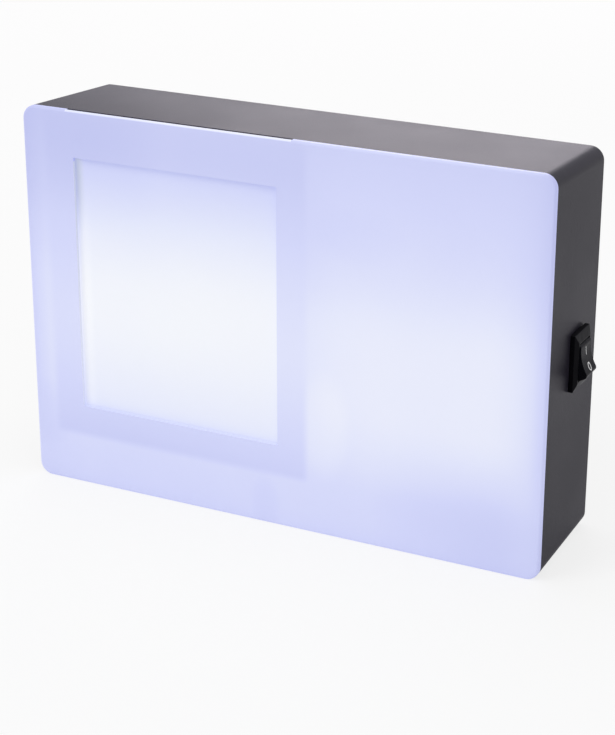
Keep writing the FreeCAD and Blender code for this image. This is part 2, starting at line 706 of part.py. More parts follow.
def make_coil(name, radius, turns, travel, wire, cone="0"):
    """A round wire swept along a helix that starts at the origin and rises along +Z."""
    helix = doc.addObject("Part::Helix", f"{name}_path")
    helix.setExpression("Radius", radius)
    helix.setExpression("Height", travel)
    helix.setExpression("Pitch", f"({travel}) / ({turns})")
    helix.setExpression("Angle", cone)
    helix.SegmentLength = 0.5
    section = doc.addObject("Part::Circle", f"{name}_section")
    section.setExpression("Radius", f"({wire}) / 2")
    place(section, radius, rotation=FreeCAD.Rotation(X_AXIS, 90))
    coil = doc.addObject("Part::Sweep", name)
    coil.Label = name
    coil.Sections = [section]
    coil.Spine = helix
    coil.Solid = True
    coil.Frenet = True
    parts.append(coil)
    return coil


def make_battery_spring(name, level, direction):
    """Conical spring between a cell's negative end and the contact behind it."""
    turn = ALONG_X if direction > 0 else ALONG_MINUS_X
    wire = "Size.spring_wire"
    cone = "-Size.spring_cone_angle"
    coil = make_coil(name, "Size.spring_base_radius", "Size.spring_turns",
                     "Place.spring_travel", wire, cone)
    height = f"Size.middle_height + {level} * Place.cell_pitch"
    start = f"{-direction} * (Place.spring_start - {wire} / 2)"
    place(coil, start, "Place.cell_depth", height, turn)


def make_contact(name, side, low_level, high_level, solder_level=None):
    """Spring-steel plate on one end wall of the bay, with a solder tab where it ends the chain."""
    body = new_part(name)
    inner, outer = "Place.contact_inner", "Place.contact_outer"
    x_low, x_high = (inner, outer) if side > 0 else (f"-{outer}", f"-{inner}")
    pitch = "Place.cell_pitch"
    overlap = "Size.contact_overlap"
    half = "Size.contact_width / 2"
    low = (x_low, f"Place.cell_depth - {half}",
           f"Size.middle_height + {low_level} * {pitch} - {overlap}")
    high = (x_high, f"Place.cell_depth + {half}",
            f"Size.middle_height + {high_level} * {pitch} + {overlap}")
    box(body, "Plate", low, high)
    if solder_level is not None:
        end = "Place.solder_tab_end"
        x_low, x_high = (inner, end) if side > 0 else (f"-{end}", f"-{inner}")
        height = f"Size.middle_height + {solder_level} * {pitch}"
        half = "Size.solder_tab_width / 2"
        thick = "Size.contact_thickness / 2"
        low = (x_low, f"Place.cell_depth - {half}", f"{height} - {thick}")
        high = (x_high, f"Place.cell_depth + {half}", f"{height} + {thick}")
        box(body, "SolderTab", low, high)


def screw_sides():
    """List the two sides that the board is screwed down on."""
    return (("Left", "-"), ("Right", ""))


def make_reflector_sheet():
    """White card between the lamps and the battery bay, pierced for screws and wires."""
    body = new_part("reflector_sheet")
    low = ("-Place.reflector_half", "Place.reflector_face", "Place.reflector_bottom")
    high = ("Place.reflector_half", "Place.bay_face", "Place.reflector_top")
    box(body, "Card", low, high)
    for name, side in screw_sides():
        start = (f"{side}Place.boss_spread", "Place.reflector_face", "Size.middle_height")
        radius = "Size.screw_radius + Size.screw_clearance"
        length = "Size.reflector_thickness"
        cylinder(body, f"ScrewHole{name}", start, radius, length, ALONG_Y, cut=True)
    for name, side in screw_sides():
        start = (f"{side}Place.pad_spread", "Place.reflector_face", "Place.pad_height")
        radius = "Size.wire_radius + Size.screw_clearance"
        length = "Size.reflector_thickness"
        cylinder(body, f"WireHole{name}", start, radius, length, ALONG_Y, cut=True)


def make_led_board():
    """White strip board across the middle."""
    body = new_part("led_board")
    half = "Size.board_width / 2"
    low = ("-Place.board_half", "Place.board_face", f"Size.middle_height - {half}")
    high = ("Place.board_half", "Place.reflector_face", f"Size.middle_height + {half}")
    box(body, "Strip", low, high)
    for name, side in screw_sides():
        start = (f"{side}Place.boss_spread", "Place.board_face", "Size.middle_height")
        radius = "Size.screw_radius + Size.screw_clearance"
        cylinder(body, f"ScrewHole{name}", start, radius, "Size.board_thickness", ALONG_Y, cut=True)


def make_chips(name, length, width, height, drop):
    """A row of equal chips on the board's face, one per lamp, joined as one group."""
    chips = []
    for index in range(LED_COUNT):
        x = f"{index - (LED_COUNT - 1) / 2} * Place.led_pitch"
        chip = doc.addObject("Part::Box", f"{name}_{index + 1}")
        chip.setExpression("Length", length)
        chip.setExpression("Width", height)
        chip.setExpression("Height", width)
        place(chip, f"{x} - {length} / 2", f"Place.board_face - {height}",
              f"Size.middle_height - {drop} - {width} / 2")
        chips.append(chip)
    group = doc.addObject("Part::Compound", name)
    group.Label = name
    group.Links = chips
    parts.append(group)


def make_board_screws():
    """Two pan-head screws that pass the board and the card into the bosses."""
    screws = []
    for name, side in screw_sides():
        shank = doc.addObject("Part::Cylinder", f"shank_{name}")
        shank.setExpression("Radius", "Size.screw_radius")
        shank.setExpression("Height", "Size.screw_length")
        place(shank, f"{side}Place.boss_spread", "Place.board_face", "Size.middle_height", ALONG_Y)
        head = doc.addObject("Part::Cylinder", f"head_{name}")
        head.setExpression("Radius", "Size.screw_head_radius")
        head.setExpression("Height", "Size.screw_head_height")
        place(head, f"{side}Place.boss_spread", "Place.board_face - Size.screw_head_height",
              "Size.middle_height", ALONG_Y)
        whole = doc.addObject("Part::Fuse", f"blank_{name}")
        whole.Base = head
        whole.Tool = shank
        drive = doc.addObject("Part::Cylinder", f"drive_{name}")
        drive.setExpression("Radius", "Size.screw_recess_radius")
        drive.setExpression("Height", "Size.screw_recess_depth")
        place(drive, f"{side}Place.boss_spread", "Place.board_face - Size.screw_head_height",
              "Size.middle_height", ALONG_Y)
        screw = doc.addObject("Part::Cut", f"screw_{name}")
        screw.Base = whole
        screw.Tool = drive
        screws.append(screw)
    group = doc.addObject("Part::Compound", "board_screws")
    group.Label = "board_screws"
    group.Links = screws
    parts.append(group)


def blade_box(body, name, height, end, clearance, cut=False):
    """Add a flat blade of the switch, or cut its slot."""
    half = f"(Size.blade_width / 2 + {clearance})"
    thick = f"(Size.blade_thickness / 2 + {clearance})"
    low = ("Place.blade_end", f"Place.switch_depth - {half}", f"{height} - {thick}")
    high = (end, f"Place.switch_depth + {half}", f"{height} + {thick}")
    return box(body, name, low, high, cut)


def make_switch_body():
    """Bezel and body of the mini rocker switch, with its wells, pivot holes and snap wings."""
    body = new_part("switch_body")
    middle, height = "Place.switch_depth", "Size.switch_height"

    def centred(x_low, x_high, width, tall):
        low = (x_low, f"{middle} - ({width}) / 2", f"{height} - ({tall}) / 2")
        high = (x_high, f"{middle} + ({width}) / 2", f"{height} + ({tall}) / 2")
        return low, high

    shoulder = "Place.bezel_face - Size.bezel_slope_rise"
    box(body, "Bezel", *centred("Place.bezel_seat", shoulder, "Place.bezel_width", "Place.bezel_height"))
    slope = body.newObject("PartDesign::AdditiveWedge", "BezelSlope")
    land = "/ 2 + Size.bezel_land"
    spans = (
        ("X", "Place.bezel_width / 2", f"Place.opening_width {land}"),
        ("Z", "Place.bezel_height / 2", f"Place.opening_height {land}"),
    )
    for axis, foot, top in spans:
        for end, sign in (("min", "-"), ("max", "")):
            slope.setExpression(f"{axis}{end}", f"{sign}({foot})")
            slope.setExpression(f"{axis}2{end}", f"{sign}({top})")
    slope.Ymin = 0
    slope.setExpression("Ymax", "Size.bezel_slope_rise")
    place(slope, shoulder, middle, height, FreeCAD.Rotation(Z_AXIS, -90))
    box(body, "Core", *centred("Place.switch_rear", "Place.bezel_seat",
                               "Place.core_width", "Place.core_height"))
    wing_end = "Place.bezel_seat - Size.wall - Size.switch_wing_gap"
    wing_tall = "Place.cutout_height + 2 * Size.switch_wing_reach"
    box(body, "SnapWings", *centred(f"{wing_end} - Size.switch_wing_length", wing_end,
                                    "Size.switch_wing_width", wing_tall))
    box(body, "RockerWell", *centred("Place.rocker_well_end", "Place.bezel_face",
                                     "Place.opening_width", "Place.opening_height"), cut=True)
    box(body, "ArmWell", *centred("Place.arm_well_end", "Place.rocker_well_end",
                                  "Size.arm_well_width", "2 * Size.arm_well_half_height"), cut=True)
    start = ("Place.pivot", f"{middle} - Place.core_width / 2", height)
    cylinder(body, "PivotHole", start, "Size.pivot_radius + Size.pivot_clearance",
             "Place.core_width", ALONG_Y, cut=True)
    for name, level in (("Common", height), ("On", "Place.on_blade_height")):
        blade_box(body, f"Slot{name}", level, "Place.arm_well_end", "Size.blade_clearance", cut=True)


def place_in_switch(body, x, tilt):
    """Put a piece modelled about its own pivot into the switch at its resting tilt."""
    place(body, x, "Place.switch_depth", "Size.switch_height", FreeCAD.Rotation(Y_AXIS, 1))
    body.setExpression("Placement.Rotation.Angle", tilt)


def make_switch_rocker():
    """Rocker with a dished face, round ends about its pivot, two pivot pins and a spring bore."""
    body = new_part("switch_rocker")
    width = "Size.rocker_width"
    start = ("0", f"-{width} / 2", "0")
    cylinder(body, "Drum", start, "Size.rocker_radius", width, ALONG_Y)
    reach = "2 * Size.rocker_radius"
    low = (f"-{reach}", f"-{width}", f"-{reach}")
    high = ("-Size.rocker_skirt", width, reach)
    box(body, "InnerSide", low, high, cut=True)
    start = ("Size.rocker_face + Size.rocker_dish_radius", f"-{width}", "0")
    cylinder(body, "Dish", start, "Size.rocker_dish_radius", f"2 * {width}", ALONG_Y, cut=True)
    face = value("Size.rocker_face")
    lips = value("Size.rocker_radius") / 2

    def is_lip(edge):
        centre = edge.CenterOfMass
        return centre.x > face and abs(centre.z) > lips and abs(centre.y) < 0.01

    round_edges(body, "Lips", "Size.rocker_lip_radius", is_lip)
    length = f"Place.pin_reach - {width} / 2"
    for name, y in (("Front", "-Place.pin_reach"), ("Rear", f"{width} / 2")):
        cylinder(body, f"Pin{name}", ("0", y, "0"), "Size.pivot_radius", length, ALONG_Y)
    start = ("-Size.rocker_boss_end", "0", "0")
    length = "Size.rocker_boss_end"
    cylinder(body, "SpringBoss", start, "Size.rocker_boss_radius", length, ALONG_X)
    length = "Size.rocker_boss_end + Size.rocker_bore_end"
    cylinder(body, "SpringBore", start, "Place.rocker_bore_radius", length, ALONG_X, cut=True)
    place_in_switch(body, "Place.pivot", "-Size.rocker_tilt")


def make_rocker_plunger():
    """Round-nosed pin that the spring pushes against the seesaw."""
    body = new_part("rocker_plunger")
    start = ("-Size.plunger_tip", "0", "0")
    length = "Size.plunger_tip - Size.plunger_seat"
    cylinder(body, "Pin", start, "Size.plunger_radius", length, ALONG_X)
    tip = -value("Size.plunger_tip")
    round_edges(body, "Nose", "Size.plunger_tip_radius", lambda edge: lies_at(edge, "X", tip))
    place_in_switch(body, "Place.pivot", "-Size.rocker_tilt")


def make_rocker_spring():
    """Snap spring in the rocker's bore, between the bore's end and the plunger."""
    wire = "Size.snap_spring_wire"
    travel = f"Size.plunger_seat + Size.rocker_bore_end - {wire} - 2 * Size.contact_gap"
    coil = make_coil("rocker_spring", "Place.snap_spring_radius", "Size.snap_spring_turns",
                     travel, wire)
    lean = "Size.rocker_tilt"
    seat = f"(-Size.plunger_seat + {wire} / 2 + Size.contact_gap)"
    place(coil, f"Place.pivot + {seat} * cos({lean})", "Place.switch_depth",
          f"Size.switch_height + {seat} * sin({lean})", ALONG_X)
    coil.setExpression("Placement.Rotation.Angle", f"90 - {lean}")


def make_contact_arm():
    """Seesaw contact: a flat arm on a round knuckle, with a rivet near its lower end."""
    body = new_part("contact_arm")
    half, thick, wide = "Size.arm_half_length", "Size.arm_thickness / 2", "Size.arm_width / 2"
    box(body, "Arm", (f"-{thick}", f"-{wide}", f"-{half}"), (thick, wide, half))
    start = ("0", f"-{wide}", "0")
    cylinder(body, "Knuckle", start, "Size.arm_knuckle_radius", "Size.arm_width", ALONG_Y)
    low = (thick, f"-{wide}", "-Size.arm_knuckle_radius")
    high = ("Size.arm_knuckle_radius", wide, "Size.arm_knuckle_radius")
    box(body, "KnuckleFlat", low, high, cut=True)
    start = ("-Place.rivet_reach", "0", "-Size.arm_rivet_place")
    cylinder(body, "Rivet", start, "Size.arm_rivet_radius", "Size.arm_rivet_height", ALONG_X)
    place_in_switch(body, "Place.arm_pivot", "Size.arm_tilt")


def make_terminal_common():
    """Middle blade: it ends in the cradle that the seesaw's knuckle rocks in."""
    body = new_part("terminal_common")
    blade_box(body, "Blade", "Size.switch_height", "Place.cradle_top - Size.cradle_depth", "0")
    half, thick = "Size.blade_width / 2", "Size.cradle_thickness / 2"
    low = ("Place.arm_well_end", f"Place.switch_depth - {half}", f"Size.switch_height - {thick}")
    high = ("Place.cradle_top", f"Place.switch_depth + {half}", f"Size.switch_height + {thick}")
    box(body, "Cradle", low, high)
    start = ("Place.arm_pivot", f"Place.switch_depth - {half}", "Size.switch_height")
    radius = "Size.arm_knuckle_radius + Size.cradle_clearance"
    cylinder(body, "CradleGroove", start, radius, "Size.blade_width", ALONG_Y, cut=True)
    cut_blade_hole(body, "Size.switch_height")


def cut_blade_hole(body, height):
    """Cut the wire hole through the outer end of a blade."""
    start = ("Place.blade_hole", "Place.switch_depth", f"{height} - Size.blade_thickness / 2")
    cylinder(body, "WireHole", start, "Place.blade_hole_radius", "Size.blade_thickness", cut=True)


def make_terminal_on():
    """Lower blade, with the pad that the seesaw's rivet meets when the lamp is on."""
    body = new_part("terminal_on")
    height = "Place.on_blade_height"
    blade_box(body, "Blade", height, "Place.pad_top - Size.contact_pad_height", "0")
    start = ("Place.pad_top - Size.contact_pad_height", "Place.switch_depth", height)
    cylinder(body, "Pad", start, "Size.contact_pad_radius", "Size.contact_pad_height", ALONG_X)
    cut_blade_hole(body, height)


def tube_path(points):
    """Join points by straight runs with a tangent arc at each bend; return the wire and radii."""
    edges, radii, start = [], [], points[0]
    for before, corner, after in zip(points, points[1:], points[2:]):
        arriving, leaving = (corner - before), (after - corner)
        half_turn = arriving.getAngle(leaving) / 2
        setback = 0.45 * min(arriving.Length, leaving.Length)
        arriving.normalize()
        leaving.normalize()
        entry, leave = corner - arriving * setback, corner + leaving * setback
        radius = setback / math.tan(half_turn)
        inward = leaving - arriving
        inward.normalize()
        centre = corner + inward * (radius / math.cos(half_turn))
        middle = centre - inward * radius
        edges.append(Part.LineSegment(start, entry).toShape())
        edges.append(Part.Arc(entry, middle, leave).toShape())
        radii.append(radius)
        start = leave
    edges.append(Part.LineSegment(start, points[-1]).toShape())
    return Part.Wire(edges), radii


def make_wire(name, points):
    """Insulated wire: a round section swept along its route."""
    path, radii = tube_path(points)
    radius = value("Size.wire_radius")
    direction = points[1] - points[0]
    section = Part.Wire([Part.makeCircle(radius, points[0], direction)])
    tube = path.makePipeShell([section], True, False)
    ideal = math.pi * radius ** 2 * path.Length
    feature = doc.addObject("Part::Feature", name)
    feature.Label = name
    feature.Shape = tube
    feature.Placement = FreeCAD.Placement()
    parts.append(feature)
    bends = ", ".join(f"{bend:.1f}" for bend in radii)
    print(f"{name}: length {path.Length:.1f}, bends {bends}, volume {tube.Volume / ideal:.3f} of ideal")


def make_wires():
    """The three wires of the circuit, on their way round the bay and the bosses."""
    tab_end = value("Place.solder_tab_end")
    depth = value("Place.cell_depth")
    hole = value("Place.blade_hole")
    blade_depth = value("Place.switch_depth")
    below_common = value("Size.switch_height - Size.blade_thickness / 2")
    above_on = value("Place.on_blade_height + Size.blade_thickness / 2")
    high_tab = value("Size.middle_height + Place.cell_pitch")
    low_tab = value("Size.middle_height - Place.cell_pitch")
    pad = value("Place.pad_spread")
    pad_height = value("Place.pad_height")
    pad_depth = value("Place.reflector_face")
    make_wire("red_wire", [
        FreeCAD.Vector(tab_end, depth, high_tab),
        FreeCAD.Vector(hole - 8, depth, high_tab),
        FreeCAD.Vector(hole, blade_depth, high_tab - 6),
        FreeCAD.Vector(hole, blade_depth, below_common),
    ])
    make_wire("switch_wire", [
        FreeCAD.Vector(hole, blade_depth, above_on),
        FreeCAD.Vector(hole, blade_depth, above_on - 7),
        FreeCAD.Vector(pad, blade_depth, pad_height - 6),
        FreeCAD.Vector(pad, pad_depth + 3, pad_height),
        FreeCAD.Vector(pad, pad_depth, pad_height),
    ])
    make_wire("black_wire", [
        FreeCAD.Vector(-tab_end, depth, low_tab),
        FreeCAD.Vector(-tab_end - 9, depth, low_tab),
        FreeCAD.Vector(-pad, depth - 1, low_tab + 6),
        FreeCAD.Vector(-pad, pad_depth + 6, pad_height),
        FreeCAD.Vector(-pad, pad_depth, pad_height),
    ])


def build():
    """Make every sub-part."""
    make_front_panel()
    make_pocket_back()
    make_rear_housing()
    make_battery_door()
    for name, level, direction in CELLS:
        make_battery(name, level, direction)
        make_battery_spring(name.replace("battery", "battery_spring"), level, direction)
    make_contact("contact_positive", 1, 1, 1, solder_level=1)
    make_contact("contact_negative", -1, -1, -1, solder_level=-1)
    make_contact("contact_bridge_left", -1, 0, 1)
    make_contact("contact_bridge_right", 1, -1, 0)
    make_reflector_sheet()
    make_led_board()
    led = ("Size.led_length", "Size.led_width", "Size.led_height")
    make_chips("leds", *led, "0")
    resistor = ("Size.resistor_length", "Size.resistor_width", "Size.resistor_height")
    make_chips("resistors", *resistor, "Size.resistor_drop")
    make_board_screws()
    make_switch_body()
    make_switch_rocker()
    make_rocker_plunger()
    make_rocker_spring()
    make_contact_arm()
    make_terminal_common()
    make_terminal_on()
    make_wires()


def check_and_write():
    """Stop on any failed object or bad solid, then write one STEP file per sub-part."""
    doc.recompute()
    failed = [item.Name for item in doc.Objects if {"Invalid", "Error"} & set(item.State)]
    if failed:
        raise RuntimeError(f"failed: {failed}")
    for part in parts:
        if part.Shape.isNull() or not part.Shape.isValid() or not part.Shape.Solids:
            raise RuntimeError(f"bad shape: {part.Label}")
    os.makedirs("parts", exist_ok=True)
    for part in parts:
        part.Shape.exportStep(f"parts/{part.Label}.step")
        bounds = part.Shape.BoundBox
        print(f"{part.Label}: {len(part.Shape.Solids)} solid, {part.Shape.Volume:.1f} mm3, "
              f"x {bounds.XMin:.2f}..{bounds.XMax:.2f} y {bounds.YMin:.2f}..{bounds.YMax:.2f} "
              f"z {bounds.ZMin:.2f}..{bounds.ZMax:.2f}")


build()
check_and_write()
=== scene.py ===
# %% [markdown]
# # A cinema light box, dressed in Blender
# The object is a small sign that stands on a shelf: an opal white panel to write on, clipped to a black tub,
# with a strip of lamps between them, a photo window on the left and a rocker switch in the right wall.
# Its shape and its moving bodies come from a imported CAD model, which is loaded first and never moved.
# Blender's share is what CAD leaves out: rounded edges, finishes, printed marks, and the light in the panel.

# %% Load the CAD frame
import json
import math

import bpy
from mathutils import Matrix, Vector


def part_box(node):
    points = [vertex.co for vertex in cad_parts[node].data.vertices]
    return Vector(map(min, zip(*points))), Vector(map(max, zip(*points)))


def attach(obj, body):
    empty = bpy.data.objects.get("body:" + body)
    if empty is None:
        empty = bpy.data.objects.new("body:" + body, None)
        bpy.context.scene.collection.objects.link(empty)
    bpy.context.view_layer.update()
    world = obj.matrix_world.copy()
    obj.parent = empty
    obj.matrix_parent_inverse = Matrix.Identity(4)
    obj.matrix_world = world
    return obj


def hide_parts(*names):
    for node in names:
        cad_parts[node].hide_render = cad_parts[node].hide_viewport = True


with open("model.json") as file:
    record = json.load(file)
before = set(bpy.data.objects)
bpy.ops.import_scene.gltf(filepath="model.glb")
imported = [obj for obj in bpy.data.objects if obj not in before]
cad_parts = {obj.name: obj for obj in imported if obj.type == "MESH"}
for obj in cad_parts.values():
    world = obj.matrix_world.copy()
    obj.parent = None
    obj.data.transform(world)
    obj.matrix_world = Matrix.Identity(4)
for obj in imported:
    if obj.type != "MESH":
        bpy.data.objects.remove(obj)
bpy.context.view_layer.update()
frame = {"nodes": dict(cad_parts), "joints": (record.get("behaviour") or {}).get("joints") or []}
MM = 0.001
MICRON = 0.001 * MM

# %% [markdown]
# ## Where we look from
# A product picture is taken from a little above, far enough away for the box to stay nearly square.
# A long lens about 55 cm away gives that. The direction is aimed with a quaternion, which keeps the
# camera free of roll, and that is simpler than three angles found by trial.

# %% Camera
VIEW_PLACE = Vector((0.22885, -0.45562, 0.24087))
VIEW_DIRECTION = Vector((-0.41678, 0.83052, -0.36945))
SENSOR_WIDTH = 36.0
FOCAL_LENGTH = 101.14

camera = bpy.data.objects.new("view_camera", bpy.data.cameras.new("view_camera"))
bpy.context.collection.objects.link(camera)
camera.location = VIEW_PLACE
camera.rotation_euler = VIEW_DIRECTION.to_track_quat("-Z", "Y").to_euler()
camera.data.sensor_width = SENSOR_WIDTH
camera.data.lens = FOCAL_LENGTH
bpy.context.scene.camera = camera
print("camera distance in m:", round(VIEW_PLACE.length, 3))

# %% [markdown]
# ## Recipes for finishes
# Every finish below is a small node tree over the piece's own coordinates, so it looks the same from all
# sides and needs no picture. One class keeps the tree, and its methods add the few nodes that are used
# again and again: a number worked out, a range, a smooth profile, a noise, a mix and a bump. Values that
# are the same all over the piece go straight onto the shader's sockets.

# %% The recipe class
# nearly all of a noise lies between these
NOISE_RANGE = (0.35, 0.65)


def colour_mix(nodes):
    """A mix node for colours: its factor, its two colour inputs and its result."""
    node = nodes.new("ShaderNodeMix")
    node.data_type = "RGBA"
    first, second = (item for item in node.inputs if item.type == "RGBA")
    result = [item for item in node.outputs if item.type == "RGBA"][0]
    return node.inputs["Factor"], first, second, result


class Finish:
    """One material, with short calls for the nodes that it needs."""

    def __init__(self, name, colour, roughness, specular=0.5, metallic=0.0):
        self.material = bpy.data.materials.new(name)
        self.material.use_nodes = True
        self.nodes = self.material.node_tree.nodes
        self.links = self.material.node_tree.links
        self.shader = self.nodes["Principled BSDF"]
        self.set("Base Color", (*colour, 1.0))
        self.set("Roughness", roughness)
        self.set("Specular IOR Level", specular)
        self.set("Metallic", metallic)
        self.place = self.nodes.new("ShaderNodeTexCoord").outputs["Object"]
        split = self.nodes.new("ShaderNodeSeparateXYZ")
        self.links.new(self.place, split.inputs[0])
        self.x, self.y, self.z = split.outputs
        print("finish", name, "roughness:", roughness)

    def set(self, socket, value):
        """Fill a socket of the shader with a number or colour, or link one into it."""
        self.feed(self.shader.inputs[socket], value)

    def feed(self, socket, value):
        """Link a node's output into a socket, or give the socket a plain value."""
        if isinstance(value, bpy.types.NodeSocket):
            self.links.new(value, socket)
        else:
            socket.default_value = value

    def math(self, operation, first, second):
        """Work out one number from two."""
        node = self.nodes.new("ShaderNodeMath")
        node.operation = operation
        self.feed(node.inputs[0], first)
        self.feed(node.inputs[1], second)
        return node.outputs[0]

    def spread(self, number, low, high, new_low=0.0, new_high=1.0, smooth=False):
        """Map a range of numbers onto another, clamped at both ends."""
        node = self.nodes.new("ShaderNodeMapRange")
        if smooth:
            node.interpolation_type = "SMOOTHSTEP"
        for index, value in enumerate((number, low, high, new_low, new_high)):
            self.feed(node.inputs[index], value)
        return node.outputs[0]

    def ramp(self, factor, stops, way="B_SPLINE"):
        """A colour or grey value along a factor from 0 to 1, given as (place, colour) stops."""
        node = self.nodes.new("ShaderNodeValToRGB")
        node.color_ramp.interpolation = way
        elements = node.color_ramp.elements
        while len(elements) < len(stops):
            elements.new(0.5)
        for element, (place, colour) in zip(elements, stops):
            element.position = place
            element.color = (*colour, 1.0) if isinstance(colour, tuple) else (colour, colour, colour, 1.0)
        self.feed(node.inputs[0], factor)
        return node.outputs[0]

    def noise(self, scale, detail, stretch=None):
        """Cloudy noise with about `scale` lumps to the metre, squeezed along the axes by `stretch`."""
        node = self.nodes.new("ShaderNodeTexNoise")
        node.inputs["Scale"].default_value = scale
        node.inputs["Detail"].default_value = detail
        place = self.place
        if stretch:
            mapping = self.nodes.new("ShaderNodeMapping")
            mapping.inputs["Scale"].default_value = stretch
            self.links.new(place, mapping.inputs["Vector"])
            place = mapping.outputs[0]
        self.links.new(place, node.inputs["Vector"])
        return node.outputs["Fac"]

    def blend(self, factor, first, second):
        """Mix two colours."""
        amount, low, high, result = colour_mix(self.nodes)
        self.feed(amount, factor)
        for socket, colour in ((low, first), (high, second)):
            self.feed(socket, (*colour, 1.0) if isinstance(colour, tuple) else colour)
        return result

    def bump(self, height, microns):
        """Dent the surface by a height pattern, up to a depth in thousandths of a millimetre."""
        node = self.nodes.new("ShaderNodeBump")
        node.inputs["Strength"].default_value = 1.0
        node.inputs["Distance"].default_value = microns * MICRON
        self.links.new(height, node.inputs["Height"])
        self.links.new(node.outputs[0], self.shader.inputs["Normal"])

    def wear(self, scale, low, high):
        """Let the roughness wander between two values, as handling leaves it."""
        self.set("Roughness", self.spread(self.noise(scale, 4.0), *NOISE_RANGE, low, high))


def paint(piece, finish):
    """Give a whole piece one finish."""
    piece.data.materials.clear()
    piece.data.materials.append(finish.material)


def paint_node(node, finish):
    """Give a CAD node one finish through its material slots."""
    piece = frame["nodes"][node]
    if not piece.material_slots:
        piece.data.materials.append(finish.material)
    for slot in piece.material_slots:
        slot.material = finish.material


# %% [markdown]
# ## Floor, backdrop and lamps
# The set is a plain pale floor in a white room, with four soft round lamps: a main one, one that fills the
# shade, one above and one low behind. The floor reads as white paper because most of its brightness is
# given only to rays that come from the camera or through glass. A reflection gets less of it, which keeps
# dark gloss dark, and sees the floor and the room in a faint violet. The rest of the floor is ordinary
# diffuse colour, so the box still drops its soft shadow there and no extra light lands on the object.

# %% White for the camera, plain light for the object


def seen_rays(nodes, links):
    """1 for rays from the camera, from a reflection or through glass, otherwise 0."""
    path = nodes.new("ShaderNodeLightPath")
    first = nodes.new("ShaderNodeMath")
    first.operation = "MAXIMUM"
    links.new(path.outputs["Is Camera Ray"], first.inputs[0])
    links.new(path.outputs["Is Glossy Ray"], first.inputs[1])
    second = nodes.new("ShaderNodeMath")
    second.operation = "MAXIMUM"
    links.new(first.outputs[0], second.inputs[0])
    links.new(path.outputs["Is Transmission Ray"], second.inputs[1])
    return second.outputs[0]


STUDIO_TINT = (0.92, 0.905, 1.0, 1.0)


def reflected_tint(nodes, links):
    """White for the camera, and the studio's faint violet for rays that come from a reflection."""
    path = nodes.new("ShaderNodeLightPath")
    reflected, white, tint, result = colour_mix(nodes)
    white.default_value = (1.0, 1.0, 1.0, 1.0)
    tint.default_value = STUDIO_TINT
    links.new(path.outputs["Is Glossy Ray"], reflected)
    return result


# %% World
WORLD_LIGHT = 0.62
WORLD_SEEN = 1.0
world = bpy.data.worlds.new("studio")
bpy.context.scene.world = world
world.use_nodes = True
world_nodes, world_links = world.node_tree.nodes, world.node_tree.links
background = world_nodes["Background"]
world_links.new(reflected_tint(world_nodes, world_links), background.inputs["Color"])
strength = world_nodes.new("ShaderNodeMapRange")
strength.inputs["To Min"].default_value = WORLD_LIGHT
strength.inputs["To Max"].default_value = WORLD_SEEN
world_links.new(seen_rays(world_nodes, world_links), strength.inputs["Value"])
world_links.new(strength.outputs[0], background.inputs["Strength"])
print("world light:", WORLD_LIGHT)

# %% Floor
FLOOR_SIZE = 14.0
FLOOR_COLOUR = (0.86, 0.86, 0.86, 1.0)
# the share of the floor that is plain white, for the camera and in a reflection
FLOOR_WHITE = 0.78
FLOOR_REFLECTED = 0.32
bpy.ops.mesh.primitive_plane_add(size=FLOOR_SIZE, location=(0.0, 0.0, 0.0))
floor = bpy.context.object
floor.name = "studio_floor"
paper = bpy.data.materials.new("floor_paper")
paper.use_nodes = True
paper_nodes, paper_links = paper.node_tree.nodes, paper.node_tree.links
paper_nodes.remove(paper_nodes["Principled BSDF"])
matte = paper_nodes.new("ShaderNodeBsdfDiffuse")
matte.inputs["Color"].default_value = FLOOR_COLOUR
glow = paper_nodes.new("ShaderNodeEmission")
paper_links.new(reflected_tint(paper_nodes, paper_links), glow.inputs["Color"])
paper_path = paper_nodes.new("ShaderNodeLightPath")
white_share = paper_nodes.new("ShaderNodeMapRange")
white_share.inputs["To Min"].default_value = FLOOR_WHITE
white_share.inputs["To Max"].default_value = FLOOR_REFLECTED
paper_links.new(paper_path.outputs["Is Glossy Ray"], white_share.inputs["Value"])
share = paper_nodes.new("ShaderNodeMath")
share.operation = "MULTIPLY"
paper_links.new(white_share.outputs[0], share.inputs[1])
mixed = paper_nodes.new("ShaderNodeMixShader")
paper_links.new(seen_rays(paper_nodes, paper_links), share.inputs[0])
paper_links.new(share.outputs[0], mixed.inputs[0])
paper_links.new(matte.outputs[0], mixed.inputs[1])
paper_links.new(glow.outputs[0], mixed.inputs[2])
paper_links.new(mixed.outputs[0], paper_nodes["Material Output"].inputs["Surface"])
floor.data.materials.append(paper)
print("white share of the floor, seen and reflected:", FLOOR_WHITE, FLOOR_REFLECTED)

# %% Soft lamps
AIM_PLACE = Vector((0.0, 0.0, 0.05))
PLAIN_WHITE = (1.0, 1.0, 1.0)
ROSE_WHITE = (1.0, 0.93, 1.0)
# name, place and width in metres, power in watts, and colour
LAMPS = (
    ("key_lamp", (-0.75, -0.95, 1.15), 1.0, 7.5, PLAIN_WHITE),
    ("fill_lamp", (0.9, -1.3, 0.7), 1.2, 2.0, PLAIN_WHITE),
    ("top_lamp", (-0.25, 0.35, 1.5), 1.0, 3.0, PLAIN_WHITE),
    ("rear_lamp", (-0.37, 1.05, 0.45), 0.6, 2.15, ROSE_WHITE),
)
for lamp_name, lamp_place, lamp_size, lamp_power, lamp_colour in LAMPS:
    lamp = bpy.data.objects.new(lamp_name, bpy.data.lights.new(lamp_name, "AREA"))
    bpy.context.collection.objects.link(lamp)
    lamp.data.shape = "DISK"
    lamp.data.size = lamp_size
    lamp.data.energy = lamp_power
    lamp.data.color = lamp_colour
    lamp.location = lamp_place
    aim = AIM_PLACE - Vector(lamp_place)
    lamp.rotation_euler = aim.to_track_quat("-Z", "Y").to_euler()
    print(lamp_name, "power in W:", lamp_power)

